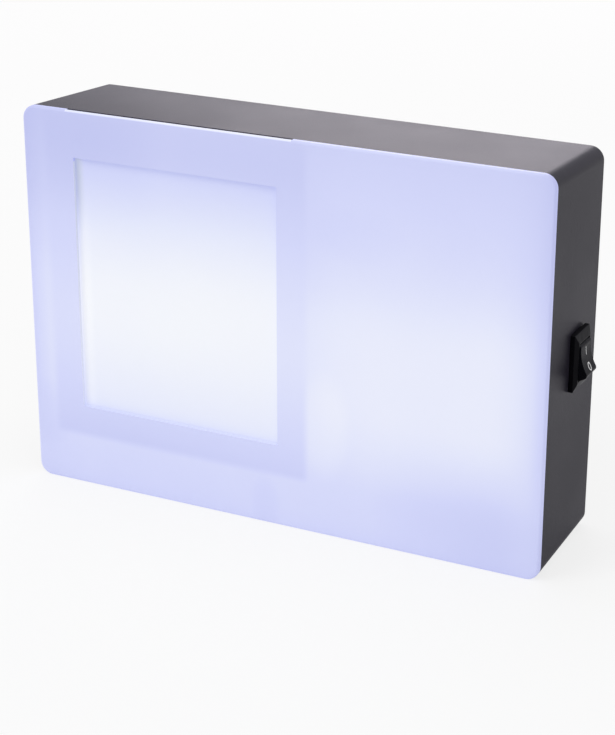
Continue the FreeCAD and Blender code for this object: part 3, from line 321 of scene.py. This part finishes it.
# colours show as they are written
bpy.context.scene.view_settings.view_transform = "Standard"

# %% [markdown]
# ## Light behind opal
# The panel is acrylic with a milky pigment. Eight lamps sit on a strip across the middle of the box, so the
# panel is brightest in a band at that height and falls off above and below. Path-traced light through
# milky plastic is slow and grainy, so the finish states the result: each point glows by its height, by its
# place across the box, and by how much plastic lies in front of the lamps. The diffuse colour underneath
# still takes the room's light and shadow.

# %% Profiles of the glow
# each stop is a place, as a fraction of the panel's width or height, and the amount of glow there

# how the band of lamps fades with height, behind one layer of plastic
FIELD_UP = (
    (0.0, 0.30), (0.02, 0.37), (0.06, 0.40), (0.14, 0.42), (0.20, 0.56), (0.26, 0.65), (0.33, 0.76),
    (0.42, 0.78), (0.50, 0.78), (0.57, 0.75), (0.64, 0.63), (0.72, 0.49), (0.80, 0.41), (0.90, 0.34),
    (1.0, 0.25),
)
# the same behind the photo pocket, where the light has two layers to pass
POCKET_UP = (
    (0.13, 0.20), (0.20, 0.35), (0.26, 0.42), (0.33, 0.50), (0.40, 0.57), (0.47, 0.61), (0.56, 0.55),
    (0.66, 0.46), (0.74, 0.36), (0.82, 0.26), (0.90, 0.17), (0.96, 0.15), (1.0, 0.20),
)
# and in the window, where only the thin backing plate is in the way
WINDOW_UP = (
    (0.21, 0.66), (0.25, 0.78), (0.30, 0.83), (0.36, 0.91), (0.43, 0.98), (0.50, 1.0), (0.57, 0.98),
    (0.63, 0.89), (0.69, 0.77), (0.75, 0.63), (0.81, 0.47), (0.86, 0.36), (0.883, 0.31),
)
# across the box at the height of the lamps, and low down where the bottom wall bounces the light
FIELD_ACROSS = (
    (0.0, 0.30), (0.012, 0.50), (0.035, 0.68), (0.56, 0.84), (0.62, 0.96), (0.68, 1.0), (0.82, 1.02),
    (0.90, 1.0), (0.94, 0.92), (0.975, 0.74), (1.0, 0.28),
)
LOW_ACROSS = (
    (0.0, 0.74), (0.05, 0.84), (0.20, 1.20), (0.36, 1.36), (0.50, 1.14), (0.62, 1.10), (0.70, 1.0),
    (0.82, 0.76), (0.92, 0.60), (0.975, 0.86), (1.0, 0.56),
)
print("stops in the upright profiles:", len(FIELD_UP) + len(POCKET_UP) + len(WINDOW_UP))

# %% Places on the panel
panel_low, panel_high = (Vector(corner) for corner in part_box("front_panel"))
print("panel width in mm:", round((panel_high.x - panel_low.x) / MM, 2))


def panel_fractions(finish):
    """Place across and up the panel, both from 0 to 1."""
    across = finish.spread(finish.x, panel_low.x, panel_high.x)
    up = finish.spread(finish.z, panel_low.z, panel_high.z)
    return across, up


def soft_box(finish, edges, softness):
    """1 inside an upright rectangle and 0 outside. Edges are left, right, bottom and top, in mm."""
    left, right, bottom, top = (edge * MM for edge in edges)
    soft = softness * MM
    sides = (
        finish.spread(finish.x, left - soft, left + soft, smooth=True),
        finish.spread(finish.x, right - soft, right + soft, 1.0, 0.0, smooth=True),
        finish.spread(finish.z, bottom - soft, bottom + soft, smooth=True),
        finish.spread(finish.z, top - soft, top + soft, 1.0, 0.0, smooth=True),
    )
    inside = sides[0]
    for side in sides[1:]:
        inside = finish.math("MULTIPLY", inside, side)
    return inside


def shade_and_light_spot(finish, x, z, wide, tall, strength):
    """A soft spot of painted shade in the glow, painted light where the strength is below 0: x and z of its
    middle and its reach across and up, in mm.
    """
    across = finish.math("DIVIDE", finish.math("SUBTRACT", finish.x, x * MM), wide * MM)
    up = finish.math("DIVIDE", finish.math("SUBTRACT", finish.z, z * MM), tall * MM)
    square = finish.math("ADD", finish.math("MULTIPLY", across, across), finish.math("MULTIPLY", up, up))
    return finish.spread(square, 0.0, 1.0, strength, 0.0, smooth=True)


# %% Colours of the glow
# the lamps are cool white: faint glow looks lavender and the bright band looks nearly pure white
GLOW_STOPS = (
    (0.0, (0.105, 0.120, 0.385)),
    (0.36, (0.230, 0.245, 0.470)),
    (0.66, (0.350, 0.365, 0.488)),
    (1.0, (0.480, 0.480, 0.490)),
)
OPAL_COLOUR = (0.452, 0.467, 0.512)
BACKING_COLOUR = (0.448, 0.468, 0.505)
# a paler base colour that paints light along the window's left edge
BACKING_LIT_EDGE = (0.505, 0.520, 0.528)
# the grey of painted shade along the window's edges
EDGE_SHADE_GREY = (0.225, 0.250, 0.310)
print("stops in the glow's colour:", len(GLOW_STOPS))

# %% Milky acrylic and its glow
CLOUDING = 0.018
CLOUDING_RANGE = (0.3, 0.7)


def opal_finish(name, colour, roughness):
    """Milky acrylic: even colour, slight clouding, and hardly visible flow marks from the mould."""
    finish = Finish(name, colour, roughness, specular=0.22)
    finish.wear(38.0, roughness - 0.04, roughness + 0.05)
    finish.bump(finish.noise(420.0, 3.0), 6)
    return finish


def give_glow(finish, amount, shade_greyness):
    """Turn an amount of glow into coloured emission, greyed by painted shade along the window's edges."""
    clouding = finish.spread(finish.noise(28.0, 2.0), *CLOUDING_RANGE, -CLOUDING, CLOUDING)
    clouded = finish.math("ADD", amount, clouding)
    colour = finish.blend(shade_greyness, finish.ramp(clouded, GLOW_STOPS, "LINEAR"), EDGE_SHADE_GREY)
    finish.set("Emission Color", colour)
    finish.set("Emission Strength", 1.0)


# %% The writing panel, beside the photo pocket
# spots of painted shade in the glow, and one of painted light: middle x and z, reach across and up in mm,
# and how much darker; less than 0 is brighter
SHADE_AND_LIGHT_SPOTS = (
    (23.0, 83.0, 16.0, 9.0, 0.03), (-3.0, 6.0, 5.0, 9.0, 0.06), (52.0, 12.0, 30.0, 10.0, 0.03),
    (-72.0, 102.0, 14.0, 30.0, 0.14), (-71.0, 19.0, 9.0, 12.0, 0.07),
    (14.0, 31.0, 9.0, 17.0, -0.10),
)
# in fractions of the height: below the first the low profile counts alone, above the second not at all
LOW_ZONE = (0.10, 0.34)
opal_panel = opal_finish("opal_panel", OPAL_COLOUR, 0.40)
across, up = panel_fractions(opal_panel)
lowness = opal_panel.spread(up, *LOW_ZONE, 1.0, 0.0, smooth=True)
sideways = opal_panel.blend(
    lowness, opal_panel.ramp(across, FIELD_ACROSS), opal_panel.ramp(across, LOW_ACROSS))
field = opal_panel.math("MULTIPLY", opal_panel.ramp(up, FIELD_UP), sideways)
# painted shade, and one spot of painted light, taken off the glow
for painted_spot in SHADE_AND_LIGHT_SPOTS:
    field = opal_panel.math("SUBTRACT", field, shade_and_light_spot(opal_panel, *painted_spot))
print("shade_and_light_spots in the panel:", len(SHADE_AND_LIGHT_SPOTS))

# %% The panel over the photo pocket
# rectangles are left, right, bottom and top in mm, and the last two run on past the top edge
PAST_TOP = 130.0
CUT_EDGE = (-58.86, 0.0, 23.0, 92.0)
SLOT_LIP = (-60.9, 4.85, 105.15, PAST_TOP)
POCKET_AREA = (-67.2, 8.9, 14.6, PAST_TOP)
# painted shade at the pocket's top-left corner
CORNER_SHADE = (-62.0, 102.0, 34.0, 26.0, 0.10)
POCKET_LEFT_SHARE = 0.78
CUT_EDGE_GLOW = 0.22
SLOT_LIP_GLOW = 0.6
# the pocket dims towards the left end of the strip
left_share = opal_panel.spread(opal_panel.x, -63.0 * MM, -10.0 * MM, POCKET_LEFT_SHARE, 1.0)
pocket = opal_panel.math("MULTIPLY", opal_panel.ramp(up, POCKET_UP), left_share)
# painted shade darkens the pocket's top-left corner
pocket = opal_panel.math("SUBTRACT", pocket, shade_and_light_spot(opal_panel, *CORNER_SHADE))
# the window's left cut edge, and its foot more faintly, show the light that travels inside the plate
cut_edge = soft_box(opal_panel, CUT_EDGE, softness=0.04)
pocket = opal_panel.math("ADD", pocket, opal_panel.math("MULTIPLY", cut_edge, CUT_EDGE_GLOW))
# the thin lip in front of the loading slot glows along its cut edge
slot_lip = soft_box(opal_panel, SLOT_LIP, softness=0.12)
pocket = opal_panel.math("ADD", pocket, opal_panel.math("MULTIPLY", slot_lip, SLOT_LIP_GLOW))
behind_pocket = soft_box(opal_panel, POCKET_AREA, softness=1.3)
total = opal_panel.blend(behind_pocket, field, pocket)
# painted shade: the cut edge is greyer high up
edge_shade = opal_panel.spread(opal_panel.z, 30.0 * MM, 75.0 * MM, 0.25, 0.75)
give_glow(opal_panel, total, opal_panel.math("MULTIPLY", cut_edge, edge_shade))
print("pocket area in mm:", POCKET_AREA)

# %% The plate behind the window
# painted shade in the window's upper left
WINDOW_UPPER_SHADE = (-54.0, 86.0, 22.0, 14.0, 0.05)
WINDOW_LEFT_SHARE = 0.97
opal_backing = opal_finish("opal_backing", BACKING_COLOUR, 0.42)
across, up = panel_fractions(opal_backing)
# the window, too, dims a little towards the left
left_share = opal_backing.spread(opal_backing.x, -60.0 * MM, -20.0 * MM, WINDOW_LEFT_SHARE, 1.0)
window_light = opal_backing.math("MULTIPLY", opal_backing.ramp(up, WINDOW_UP), left_share)
# painted shade in the window's upper left
window_upper_shade = shade_and_light_spot(opal_backing, *WINDOW_UPPER_SHADE)
window_light = opal_backing.math("SUBTRACT", window_light, window_upper_shade)
# painted light: the base colour is paler where light creeps round the window's left edge, and high up
# painted shade makes that edge greyer
near_edge = opal_backing.spread(opal_backing.x, -57.8 * MM, -54.5 * MM, 1.0, 0.0, smooth=True)
near_top = opal_backing.spread(opal_backing.z, 70.0 * MM, 91.0 * MM, smooth=True)
lit_edge = opal_backing.math("MULTIPLY", near_edge, opal_backing.spread(near_top, 0.0, 1.0, 1.0, 0.25))
opal_backing.set("Base Color", opal_backing.blend(lit_edge, BACKING_COLOUR, BACKING_LIT_EDGE))
grey_edge_shade = opal_backing.spread(opal_backing.x, -58.6 * MM, -56.2 * MM, 0.9, 0.0, smooth=True)
give_glow(opal_backing, window_light, opal_backing.math("MULTIPLY", grey_edge_shade, near_top))
print("brightest stop behind the window:", max(amount for place, amount in WINDOW_UP))

# %% [markdown]
# ## Black plastics and the plain finishes inside
# The tub is moulded ABS with a fine spark-eroded grain, which makes it satin instead of shiny. The switch is
# smoother nylon and much darker. The grain is a bump of two noises, one near the limit of what the eye
# sees and one a little coarser, and the colour wanders a little too. Inside, each metal and board gets its
# own small recipe, because the door opens and the model can be taken apart.

# %% Tub and door
TUB_DARK = (0.0150, 0.0134, 0.0200)
TUB_PALE = (0.0166, 0.0150, 0.0222)
SEAM_FRONT = -16.9 * MM
SEAM_BACK = -16.4 * MM
# emission that paints a faint blue glow into the joint
SEAM_GLOW_BLUE = (0.0, 0.001, 0.012)
black_housing = Finish("black_housing", (0.016, 0.014, 0.021), 0.36, specular=0.077)
black_housing.wear(30.0, 0.345, 0.385)
coarse = black_housing.noise(1500.0, 2.0)
fine = black_housing.noise(4200.0, 1.0)
black_housing.bump(black_housing.math("ADD", coarse, fine), 35)
speckle = black_housing.spread(black_housing.noise(700.0, 3.0), 0.35, 0.7)
black_housing.set("Base Color", black_housing.blend(speckle, TUB_DARK, TUB_PALE))

# painted glow on the tub: a little blue light leaks into the joint with the panel
seam = black_housing.spread(black_housing.y, SEAM_FRONT, SEAM_BACK, 1.0, 0.0)
black_housing.set("Emission Color", black_housing.blend(seam, (0.0, 0.0, 0.0), SEAM_GLOW_BLUE))
black_housing.set("Emission Strength", 1.0)

# %% Switch and its marks
switch_black = Finish("switch_black", (0.0028, 0.0028, 0.0040), 0.34, specular=0.046)
switch_black.wear(600.0, 0.28, 0.42)
switch_black.bump(switch_black.noise(5000.0, 2.0), 6)

rocker_black = Finish("rocker_black", (0.0038, 0.0038, 0.0056), 0.26, specular=0.05)
rocker_black.wear(700.0, 0.20, 0.36)
rocker_black.bump(rocker_black.noise(3000.0, 2.0), 3)

mark_white = Finish("mark_white", (0.80, 0.80, 0.80), 0.55, specular=0.3)
mark_white.wear(2500.0, 0.48, 0.62)
mark_white.bump(mark_white.noise(9000.0, 2.0), 4)

# %% Metals
spring_steel = Finish("spring_steel", (0.60, 0.60, 0.62), 0.25, metallic=1.0)
spring_steel.wear(900.0, 0.20, 0.34)
spring_steel.bump(spring_steel.noise(6000.0, 2.0), 3)

contact_steel = Finish("contact_steel", (0.64, 0.64, 0.65), 0.3, metallic=1.0)
contact_steel.wear(500.0, 0.24, 0.40)
contact_steel.bump(contact_steel.noise(500.0, 3.0, stretch=(1.0, 1.0, 14.0)), 4)

contact_brass = Finish("contact_brass", (0.60, 0.47, 0.24), 0.3, metallic=1.0)
contact_brass.wear(800.0, 0.26, 0.42)
contact_brass.bump(contact_brass.noise(4000.0, 2.0), 3)

screw_steel = Finish("screw_steel", (0.52, 0.53, 0.55), 0.34, metallic=1.0)
screw_steel.wear(1200.0, 0.28, 0.44)
screw_steel.bump(screw_steel.noise(5000.0, 2.0), 4)

# %% Card, board, chips and wires
COOL_WHITE = (0.93, 0.95, 1.0, 1.0)
white_card = Finish("white_card", (0.80, 0.80, 0.79), 0.8, specular=0.2)
white_card.wear(200.0, 0.74, 0.86)
white_card.bump(white_card.noise(1800.0, 5.0), 10)

board_white = Finish("board_white", (0.76, 0.77, 0.76), 0.35)
board_white.wear(300.0, 0.30, 0.42)
board_white.bump(board_white.noise(1100.0, 3.0), 6)

led_body = Finish("led_body", (0.80, 0.80, 0.78), 0.45)
led_body.wear(2500.0, 0.40, 0.52)
led_body.bump(led_body.noise(8000.0, 2.0), 3)

led_phosphor = Finish("led_phosphor", (0.86, 0.78, 0.36), 0.3)
led_phosphor.bump(led_phosphor.noise(9000.0, 2.0), 4)
led_phosphor.set("Emission Color", COOL_WHITE)
led_phosphor.set("Emission Strength", 1.0)

chip_black = Finish("chip_black", (0.03, 0.03, 0.032), 0.4)
chip_black.wear(3000.0, 0.34, 0.50)
chip_black.bump(chip_black.noise(9000.0, 2.0), 4)


def wire_finish(name, colour):
    """Soft PVC insulation, a little waxy."""
    finish = Finish(name, colour, 0.42)
    finish.wear(900.0, 0.36, 0.50)
    finish.bump(finish.noise(2600.0, 2.0), 6)
    return finish


wire_red = wire_finish("wire_red", (0.45, 0.015, 0.012))
wire_black = wire_finish("wire_black", (0.02, 0.02, 0.02))
wire_white = wire_finish("wire_white", (0.70, 0.70, 0.68))

# %% Paint the CAD nodes
NODE_FINISHES = {
    "pocket_back": opal_backing,
    "reflector_sheet": white_card,
    "led_board": board_white,
    "resistors": chip_black,
    "board_screws": screw_steel,
    "battery_spring_1": spring_steel,
    "battery_spring_2": spring_steel,
    "battery_spring_3": spring_steel,
    "contact_positive": contact_steel,
    "contact_negative": contact_steel,
    "contact_bridge_left": contact_steel,
    "contact_bridge_right": contact_steel,
    "rocker_plunger": contact_brass,
    "rocker_spring": spring_steel,
    "contact_arm": contact_brass,
    "terminal_common": contact_brass,
    "terminal_on": contact_brass,
    "red_wire": wire_red,
    "switch_wire": wire_white,
    "black_wire": wire_black,
}
for node_name, node_finish in NODE_FINISHES.items():
    paint_node(node_name, node_finish)
print("painted", len(NODE_FINISHES), "nodes")

# %% [markdown]
# ## Edges that catch the light
# No moulded part has a knife edge: the mould's corners leave a radius of a tenth to a third of a millimetre,
# and that radius draws the bright line along every edge. CAD holds the larger roundings, such as the
# corners of panel and tub, and keeps these small ones sharp. A copy of the CAD mesh has its loose triangles
# welded and its flat faces merged, and then a bevel rounds each edge that is sharper than 30 degrees.
# Modelling the tub again by hand would only risk a different size. The battery door's outer face has a row
# of thumb slots, and a merged face with slots in it can fold over itself when its edges move, so the door
# is cut into triangles again before the bevel.

# %% Working on one piece at a time
SMOOTH_ANGLE = math.radians(32.0)


def choose(piece):
    """Select one piece and nothing else."""
    if bpy.context.object and bpy.context.object.mode != "OBJECT":
        bpy.ops.object.mode_set(mode="OBJECT")
    bpy.ops.object.select_all(action="DESELECT")
    piece.select_set(True)
    bpy.context.view_layer.objects.active = piece


def select_faces(piece, test):
    """Select the faces whose centre and normal pass a test, and enter edit mode."""
    choose(piece)
    bpy.ops.object.mode_set(mode="EDIT")
    bpy.ops.mesh.select_mode(type="FACE")
    bpy.ops.mesh.select_all(action="DESELECT")
    bpy.ops.object.mode_set(mode="OBJECT")
    for face in piece.data.polygons:
        face.select = test(face.center, face.normal)
    bpy.ops.object.mode_set(mode="EDIT")


def apply_modifier(piece, kind, **settings):
    """Add a modifier with its settings and apply it at once."""
    choose(piece)
    modifier = piece.modifiers.new(kind.lower(), kind)
    for key, value in settings.items():
        setattr(modifier, key, value)
    bpy.ops.object.modifier_apply(modifier=modifier.name)


def smooth_finish(piece):
    """Smooth the shading over curved faces, and keep large flat faces flat."""
    choose(piece)
    bpy.ops.object.shade_smooth_by_angle(angle=SMOOTH_ANGLE)
    apply_modifier(piece, "WEIGHTED_NORMAL", keep_sharp=True, weight=60)


# %% Rounded copies of the moulded pieces
WELD_DISTANCE = 2 * MICRON
FLAT_ANGLE = math.radians(0.6)
SHARP_ANGLE = math.radians(30.0)
# edge radii in mm
FINE_EDGE = 0.10
SWITCH_EDGE = 0.12
TUB_EDGE = 0.28


def soften(node, name, body, finish, radius, segments=3, slotted=False):
    """Put a copy with round edges in the place of a CAD node. A slotted one is cut into triangles first."""
    source = frame["nodes"][node]
    piece = bpy.data.objects.new(name, source.data.copy())
    bpy.context.collection.objects.link(piece)
    choose(piece)
    bpy.ops.object.mode_set(mode="EDIT")
    bpy.ops.mesh.select_all(action="SELECT")
    bpy.ops.mesh.remove_doubles(threshold=WELD_DISTANCE)
    bpy.ops.mesh.dissolve_limited(angle_limit=FLAT_ANGLE)
    if slotted:
        bpy.ops.mesh.quads_convert_to_tris(quad_method="BEAUTY", ngon_method="BEAUTY")
    bpy.ops.object.mode_set(mode="OBJECT")
    apply_modifier(piece, "BEVEL", width=radius * MM, segments=segments, limit_method="ANGLE",
                   angle_limit=SHARP_ANGLE, use_clamp_overlap=True, miter_outer="MITER_ARC")
    smooth_finish(piece)
    paint(piece, finish)
    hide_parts(node)
    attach(piece, body)
    print(name, "faces:", len(piece.data.polygons), "edge radius in mm:", radius)
    return piece


panel_piece = soften("front_panel", "opal_front_panel", "case", opal_panel, FINE_EDGE, 2)
tub_piece = soften("rear_housing", "black_tub", "case", black_housing, TUB_EDGE)
door_piece = soften(
    "battery_door", "battery_door_cover", "door", black_housing, FINE_EDGE, 2, slotted=True)
bezel_piece = soften("switch_body", "switch_bezel", "case", switch_black, SWITCH_EDGE, 2)
rocker_piece = soften("switch_rocker", "rocker_button", "rocker", rocker_black, SWITCH_EDGE, 2)

# %% [markdown]
# ## I and O on the rocker
# A rocker's marks are pad-printed: a film of white ink, thin but real, that follows the hollow face. A
# decal picture could do it, but a thin solid stays sharp at any distance. The I starts as a cube cut into
# short lengths, and the O as a cylinder whose ends are inset and bridged into a ring. Both are made flat
# and small, and then each point is moved onto the round hollow of the face, as the pad's rubber would.

# %% The rocker's face
rocker_joint = [joint for joint in frame["joints"] if joint["name"] == "rocker_tilt"][0]
ROCKER_PIVOT = Vector(rocker_joint["pos_m"])
ROCKER_TILT = math.radians(14.5)
FACE_HEIGHT = 1.86 * MM
HOLLOW_RADIUS = 12.0 * MM
# how far the ink stands proud, and as much again lies inside the rocker
INK = 0.03 * MM
print("rocker pivot in mm:", [round(value / MM, 2) for value in ROCKER_PIVOT])


def print_mark(piece, name, along):
    """Bend a flat mark onto the rocker's hollow face, at a distance along it from the pivot."""
    piece.name = name
    for vertex in piece.data.vertices:
        out, across, up = vertex.co
        up += along
        hollow = HOLLOW_RADIUS - math.sqrt(HOLLOW_RADIUS ** 2 - up ** 2)
        vertex.co = (FACE_HEIGHT + hollow + out, across, up)
    piece.data.transform(Matrix.Translation(ROCKER_PIVOT) @ Matrix.Rotation(-ROCKER_TILT, 4, "Y"))
    smooth_finish(piece)
    paint(piece, mark_white)
    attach(piece, "rocker")
    print(name, "faces:", len(piece.data.polygons))


# %% The I
BAR_LENGTH = 2.1 * MM
BAR_WIDTH = 0.24 * MM
BAR_EDGE = 0.012 * MM
BAR_PIECES = 8
BAR_PLACE = 1.9 * MM
bpy.ops.object.select_all(action="DESELECT")
bpy.ops.mesh.primitive_cube_add(size=1.0)
bar = bpy.context.object
bar.data.transform(Matrix.Diagonal((2 * INK, BAR_WIDTH, BAR_LENGTH, 1.0)))
choose(bar)
bpy.ops.object.mode_set(mode="EDIT")
for step in range(1, BAR_PIECES):
    cut = (step / BAR_PIECES - 0.5) * BAR_LENGTH
    bpy.ops.mesh.select_all(action="SELECT")
    bpy.ops.mesh.bisect(plane_co=(0.0, 0.0, cut), plane_no=(0.0, 0.0, 1.0))
bpy.ops.object.mode_set(mode="OBJECT")
apply_modifier(bar, "BEVEL", width=BAR_EDGE, segments=2, limit_method="ANGLE", angle_limit=SHARP_ANGLE)
print_mark(bar, "mark_on", BAR_PLACE)

# %% The O
RING_TALL = 2.3 * MM
RING_WIDE = 1.65 * MM
RING_STROKE = 0.34 * MM
RING_PLACE = -2.29 * MM
bpy.ops.object.select_all(action="DESELECT")
bpy.ops.mesh.primitive_cylinder_add(vertices=64, radius=0.5, depth=2 * INK, end_fill_type="NGON")
ring = bpy.context.object
ring.data.transform(Matrix.Diagonal((RING_TALL, RING_WIDE, 1.0, 1.0)))
select_faces(ring, lambda centre, normal: abs(normal.z) > 0.9)
bpy.ops.mesh.inset(thickness=RING_STROKE)
bpy.ops.mesh.bridge_edge_loops()
bpy.ops.mesh.select_all(action="SELECT")
bpy.ops.mesh.normals_make_consistent(inside=False)
bpy.ops.object.mode_set(mode="OBJECT")
ring.data.transform(Matrix.Rotation(math.pi / 2, 4, "Y"))
print_mark(ring, "mark_off", RING_PLACE)

# %% [markdown]
# ## AA cells
# An AA cell is a steel can in a printed sleeve: the plus end has a button, a washer round it and a crimped
# shoulder, the minus end a flat disc. Three lie side by side behind the battery door, the middle one turned
# round. One cell is shaped from a cylinder by insets and extrusions at its ends. Its faces get steel,
# washer or sleeve by their place, a cut across the sleeve sets off a pale band at the plus end, and two
# copies with their own meshes follow.

# %% Finishes of a cell
cell_steel = Finish("cell_steel", (0.56, 0.56, 0.58), 0.28, metallic=1.0)
cell_steel.wear(700.0, 0.22, 0.38)
cell_steel.bump(cell_steel.noise(3000.0, 2.0), 4)

cell_sleeve = Finish("cell_sleeve", (0.055, 0.085, 0.105), 0.3)
cell_sleeve.wear(260.0, 0.24, 0.38)
cell_sleeve.bump(cell_sleeve.noise(500.0, 3.0), 12)

cell_band = Finish("cell_band", (0.56, 0.58, 0.59), 0.26, metallic=0.6)
cell_band.wear(260.0, 0.20, 0.34)
cell_band.bump(cell_band.noise(500.0, 3.0), 12)

cell_ring = Finish("cell_ring", (0.62, 0.62, 0.60), 0.6)
cell_ring.bump(cell_ring.noise(2500.0, 3.0), 6)

# %% One cell, standing with its button up
CELL_RADIUS = 7.05 * MM
CELL_CAN = 49.2 * MM
CELL_NUB = 1.3 * MM
CELL_EDGE = 0.22 * MM
SLEEVE_LENGTH = CELL_CAN - 0.4 * MM


def step_inwards(inset, rise):
    """Inset the selected end face, then push or pull it along the cell."""
    bpy.ops.mesh.inset(thickness=inset)
    if rise:
        bpy.ops.mesh.extrude_region_move(TRANSFORM_OT_translate={"value": (0.0, 0.0, rise)})


bpy.ops.object.select_all(action="DESELECT")
bpy.ops.mesh.primitive_cylinder_add(vertices=72, radius=CELL_RADIUS, depth=SLEEVE_LENGTH)
cell = bpy.context.object
select_faces(cell, lambda centre, normal: normal.z > 0.9)
# the sleeve folds over a groove, the washer lies on a raised ring, and the button rises from a lower step
step_inwards(0.9 * MM, -0.35 * MM)
step_inwards(0.35 * MM, 0.75 * MM)
step_inwards(2.6 * MM, -0.25 * MM)
step_inwards(0.5 * MM, CELL_NUB - 0.05 * MM)
step_inwards(0.5 * MM, 0.0)
select_faces(cell, lambda centre, normal: normal.z < -0.9 and centre.z < 0.0)
# at the minus end the sleeve folds over a groove, and the disc stands proud of it
step_inwards(0.8 * MM, 0.3 * MM)
step_inwards(0.4 * MM, -0.5 * MM)
step_inwards(0.6 * MM, 0.0)
bpy.ops.object.mode_set(mode="OBJECT")
apply_modifier(cell, "BEVEL", width=CELL_EDGE, segments=3, limit_method="ANGLE",
               angle_limit=math.radians(40.0))
cell_height = [vertex.co.z for vertex in cell.data.vertices]
print("cell length in mm:", round((max(cell_height) - min(cell_height)) / MM, 2))

# %% Steel, washer, sleeve and band by place
SLEEVE, BAND, STEEL, WASHER = range(4)
SLEEVE_INSIDE = CELL_RADIUS - 0.95 * MM
WASHER_INSIDE = 3.1 * MM
WASHER_OUTSIDE = CELL_RADIUS - 1.2 * MM
BAND_START = CELL_CAN / 2 - 9.5 * MM
for cell_finish in (cell_sleeve, cell_band, cell_steel, cell_ring):
    cell.data.materials.append(cell_finish.material)
for face in cell.data.polygons:
    centre = face.center
    from_axis = math.hypot(centre.x, centre.y)
    if from_axis > SLEEVE_INSIDE and abs(face.normal.z) < 0.99:
        face.material_index = SLEEVE
    elif centre.z > 0 and WASHER_INSIDE < from_axis < WASHER_OUTSIDE and face.normal.z > 0.9:
        face.material_index = WASHER
    else:
        face.material_index = STEEL


def cut_band(piece):
    """Cut the sleeve where its pale band starts, and colour the band."""
    select_faces(piece, lambda centre, normal: True)
    bpy.ops.mesh.bisect(plane_co=(0.0, 0.0, BAND_START), plane_no=(0.0, 0.0, 1.0))
    bpy.ops.object.mode_set(mode="OBJECT")
    for face in piece.data.polygons:
        if face.material_index == SLEEVE and face.center.z > BAND_START:
            face.material_index = BAND


cut_band(cell)
smooth_finish(cell)
washer_faces = [face for face in cell.data.polygons if face.material_index == WASHER]
print("faces of a cell:", len(cell.data.polygons), "of them washer:", len(washer_faces))

# %% Three cells in the bay
# the finished cell is laid along X, with its button at +X
cell.data.transform(Matrix.Rotation(math.pi / 2, 4, "Y"))
# the node of each cell, and which way its button points along X
CELL_NODES = (("battery_1", 1), ("battery_2", -1), ("battery_3", 1))
for node_name, direction in CELL_NODES:
    low, high = (Vector(corner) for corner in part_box(node_name))
    middle = (low + high) / 2
    piece = cell if node_name == "battery_3" else bpy.data.objects.new("cell", cell.data.copy())
    if piece is not cell:
        bpy.context.collection.objects.link(piece)
    piece.name = node_name.replace("battery", "aa_cell")
    turn = Matrix.Rotation(0.0 if direction > 0 else math.pi, 4, "Z")
    drop = Matrix.Translation(middle - Vector((CELL_NUB / 2 * direction, 0.0, 0.0)))
    piece.data.transform(drop @ turn)
    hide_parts(node_name)
    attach(piece, "case")
    print(piece.name, "middle x in mm:", round(middle.x / MM, 2))

# %% [markdown]
# ## Lamps on the strip
# Each lamp is a small white package with a cup of yellow phosphor. A cube the size of the package has its
# front face inset and pushed in, which makes the cup, and the cup's floor gets the phosphor. Eight copies
# stand on the board, spaced as the CAD has them, and are joined as one piece.

# %% One lamp
LED_SIZE = Vector((3.5, 1.4, 2.8)) * MM
LED_COUNT = 8
LED_EDGE = 0.12 * MM
CUP_RIM = 0.3 * MM
CUP_DEPTH = 0.45 * MM
CUP_TAPER = 0.86
led_low, led_high = (Vector(corner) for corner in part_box("leds"))
led_pitch = (led_high.x - led_low.x - LED_SIZE.x) / (LED_COUNT - 1)
bpy.ops.object.select_all(action="DESELECT")
bpy.ops.mesh.primitive_cube_add(size=1.0)
led = bpy.context.object
led.data.transform(Matrix.Diagonal((*LED_SIZE, 1.0)))
apply_modifier(led, "BEVEL", width=LED_EDGE, segments=2, limit_method="ANGLE", angle_limit=SHARP_ANGLE)
select_faces(led, lambda centre, normal: normal.y < -0.95)
bpy.ops.mesh.inset(thickness=CUP_RIM)
bpy.ops.mesh.extrude_region_move(TRANSFORM_OT_translate={"value": (0.0, CUP_DEPTH, 0.0)})
bpy.ops.transform.resize(value=(CUP_TAPER, 1.0, CUP_TAPER))
bpy.ops.object.mode_set(mode="OBJECT")
led.data.materials.append(led_body.material)
led.data.materials.append(led_phosphor.material)
nearly_floor = CUP_DEPTH - 0.05 * MM - LED_SIZE.y / 2
for face in led.data.polygons:
    cup_floor = face.center.y > nearly_floor and face.normal.y < -0.95
    face.material_index = 1 if cup_floor else 0
print("lamp pitch in mm:", round(led_pitch / MM, 2))

# %% Eight in a row
row = [led]
for index in range(1, LED_COUNT):
    copy = bpy.data.objects.new("led_copy", led.data.copy())
    bpy.context.collection.objects.link(copy)
    row.append(copy)
row_middle = (led_low + led_high) / 2
for index, lamp_piece in enumerate(row):
    lamp_x = led_low.x + LED_SIZE.x / 2 + index * led_pitch
    lamp_piece.data.transform(Matrix.Translation((lamp_x, row_middle.y, row_middle.z)))
choose(led)
for lamp_piece in row:
    lamp_piece.select_set(True)
bpy.ops.object.join()
led.name = "strip_lamps"
print("strip lamps:", len(row), "faces:", len(led.data.polygons))
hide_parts("leds")
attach(led, "case")
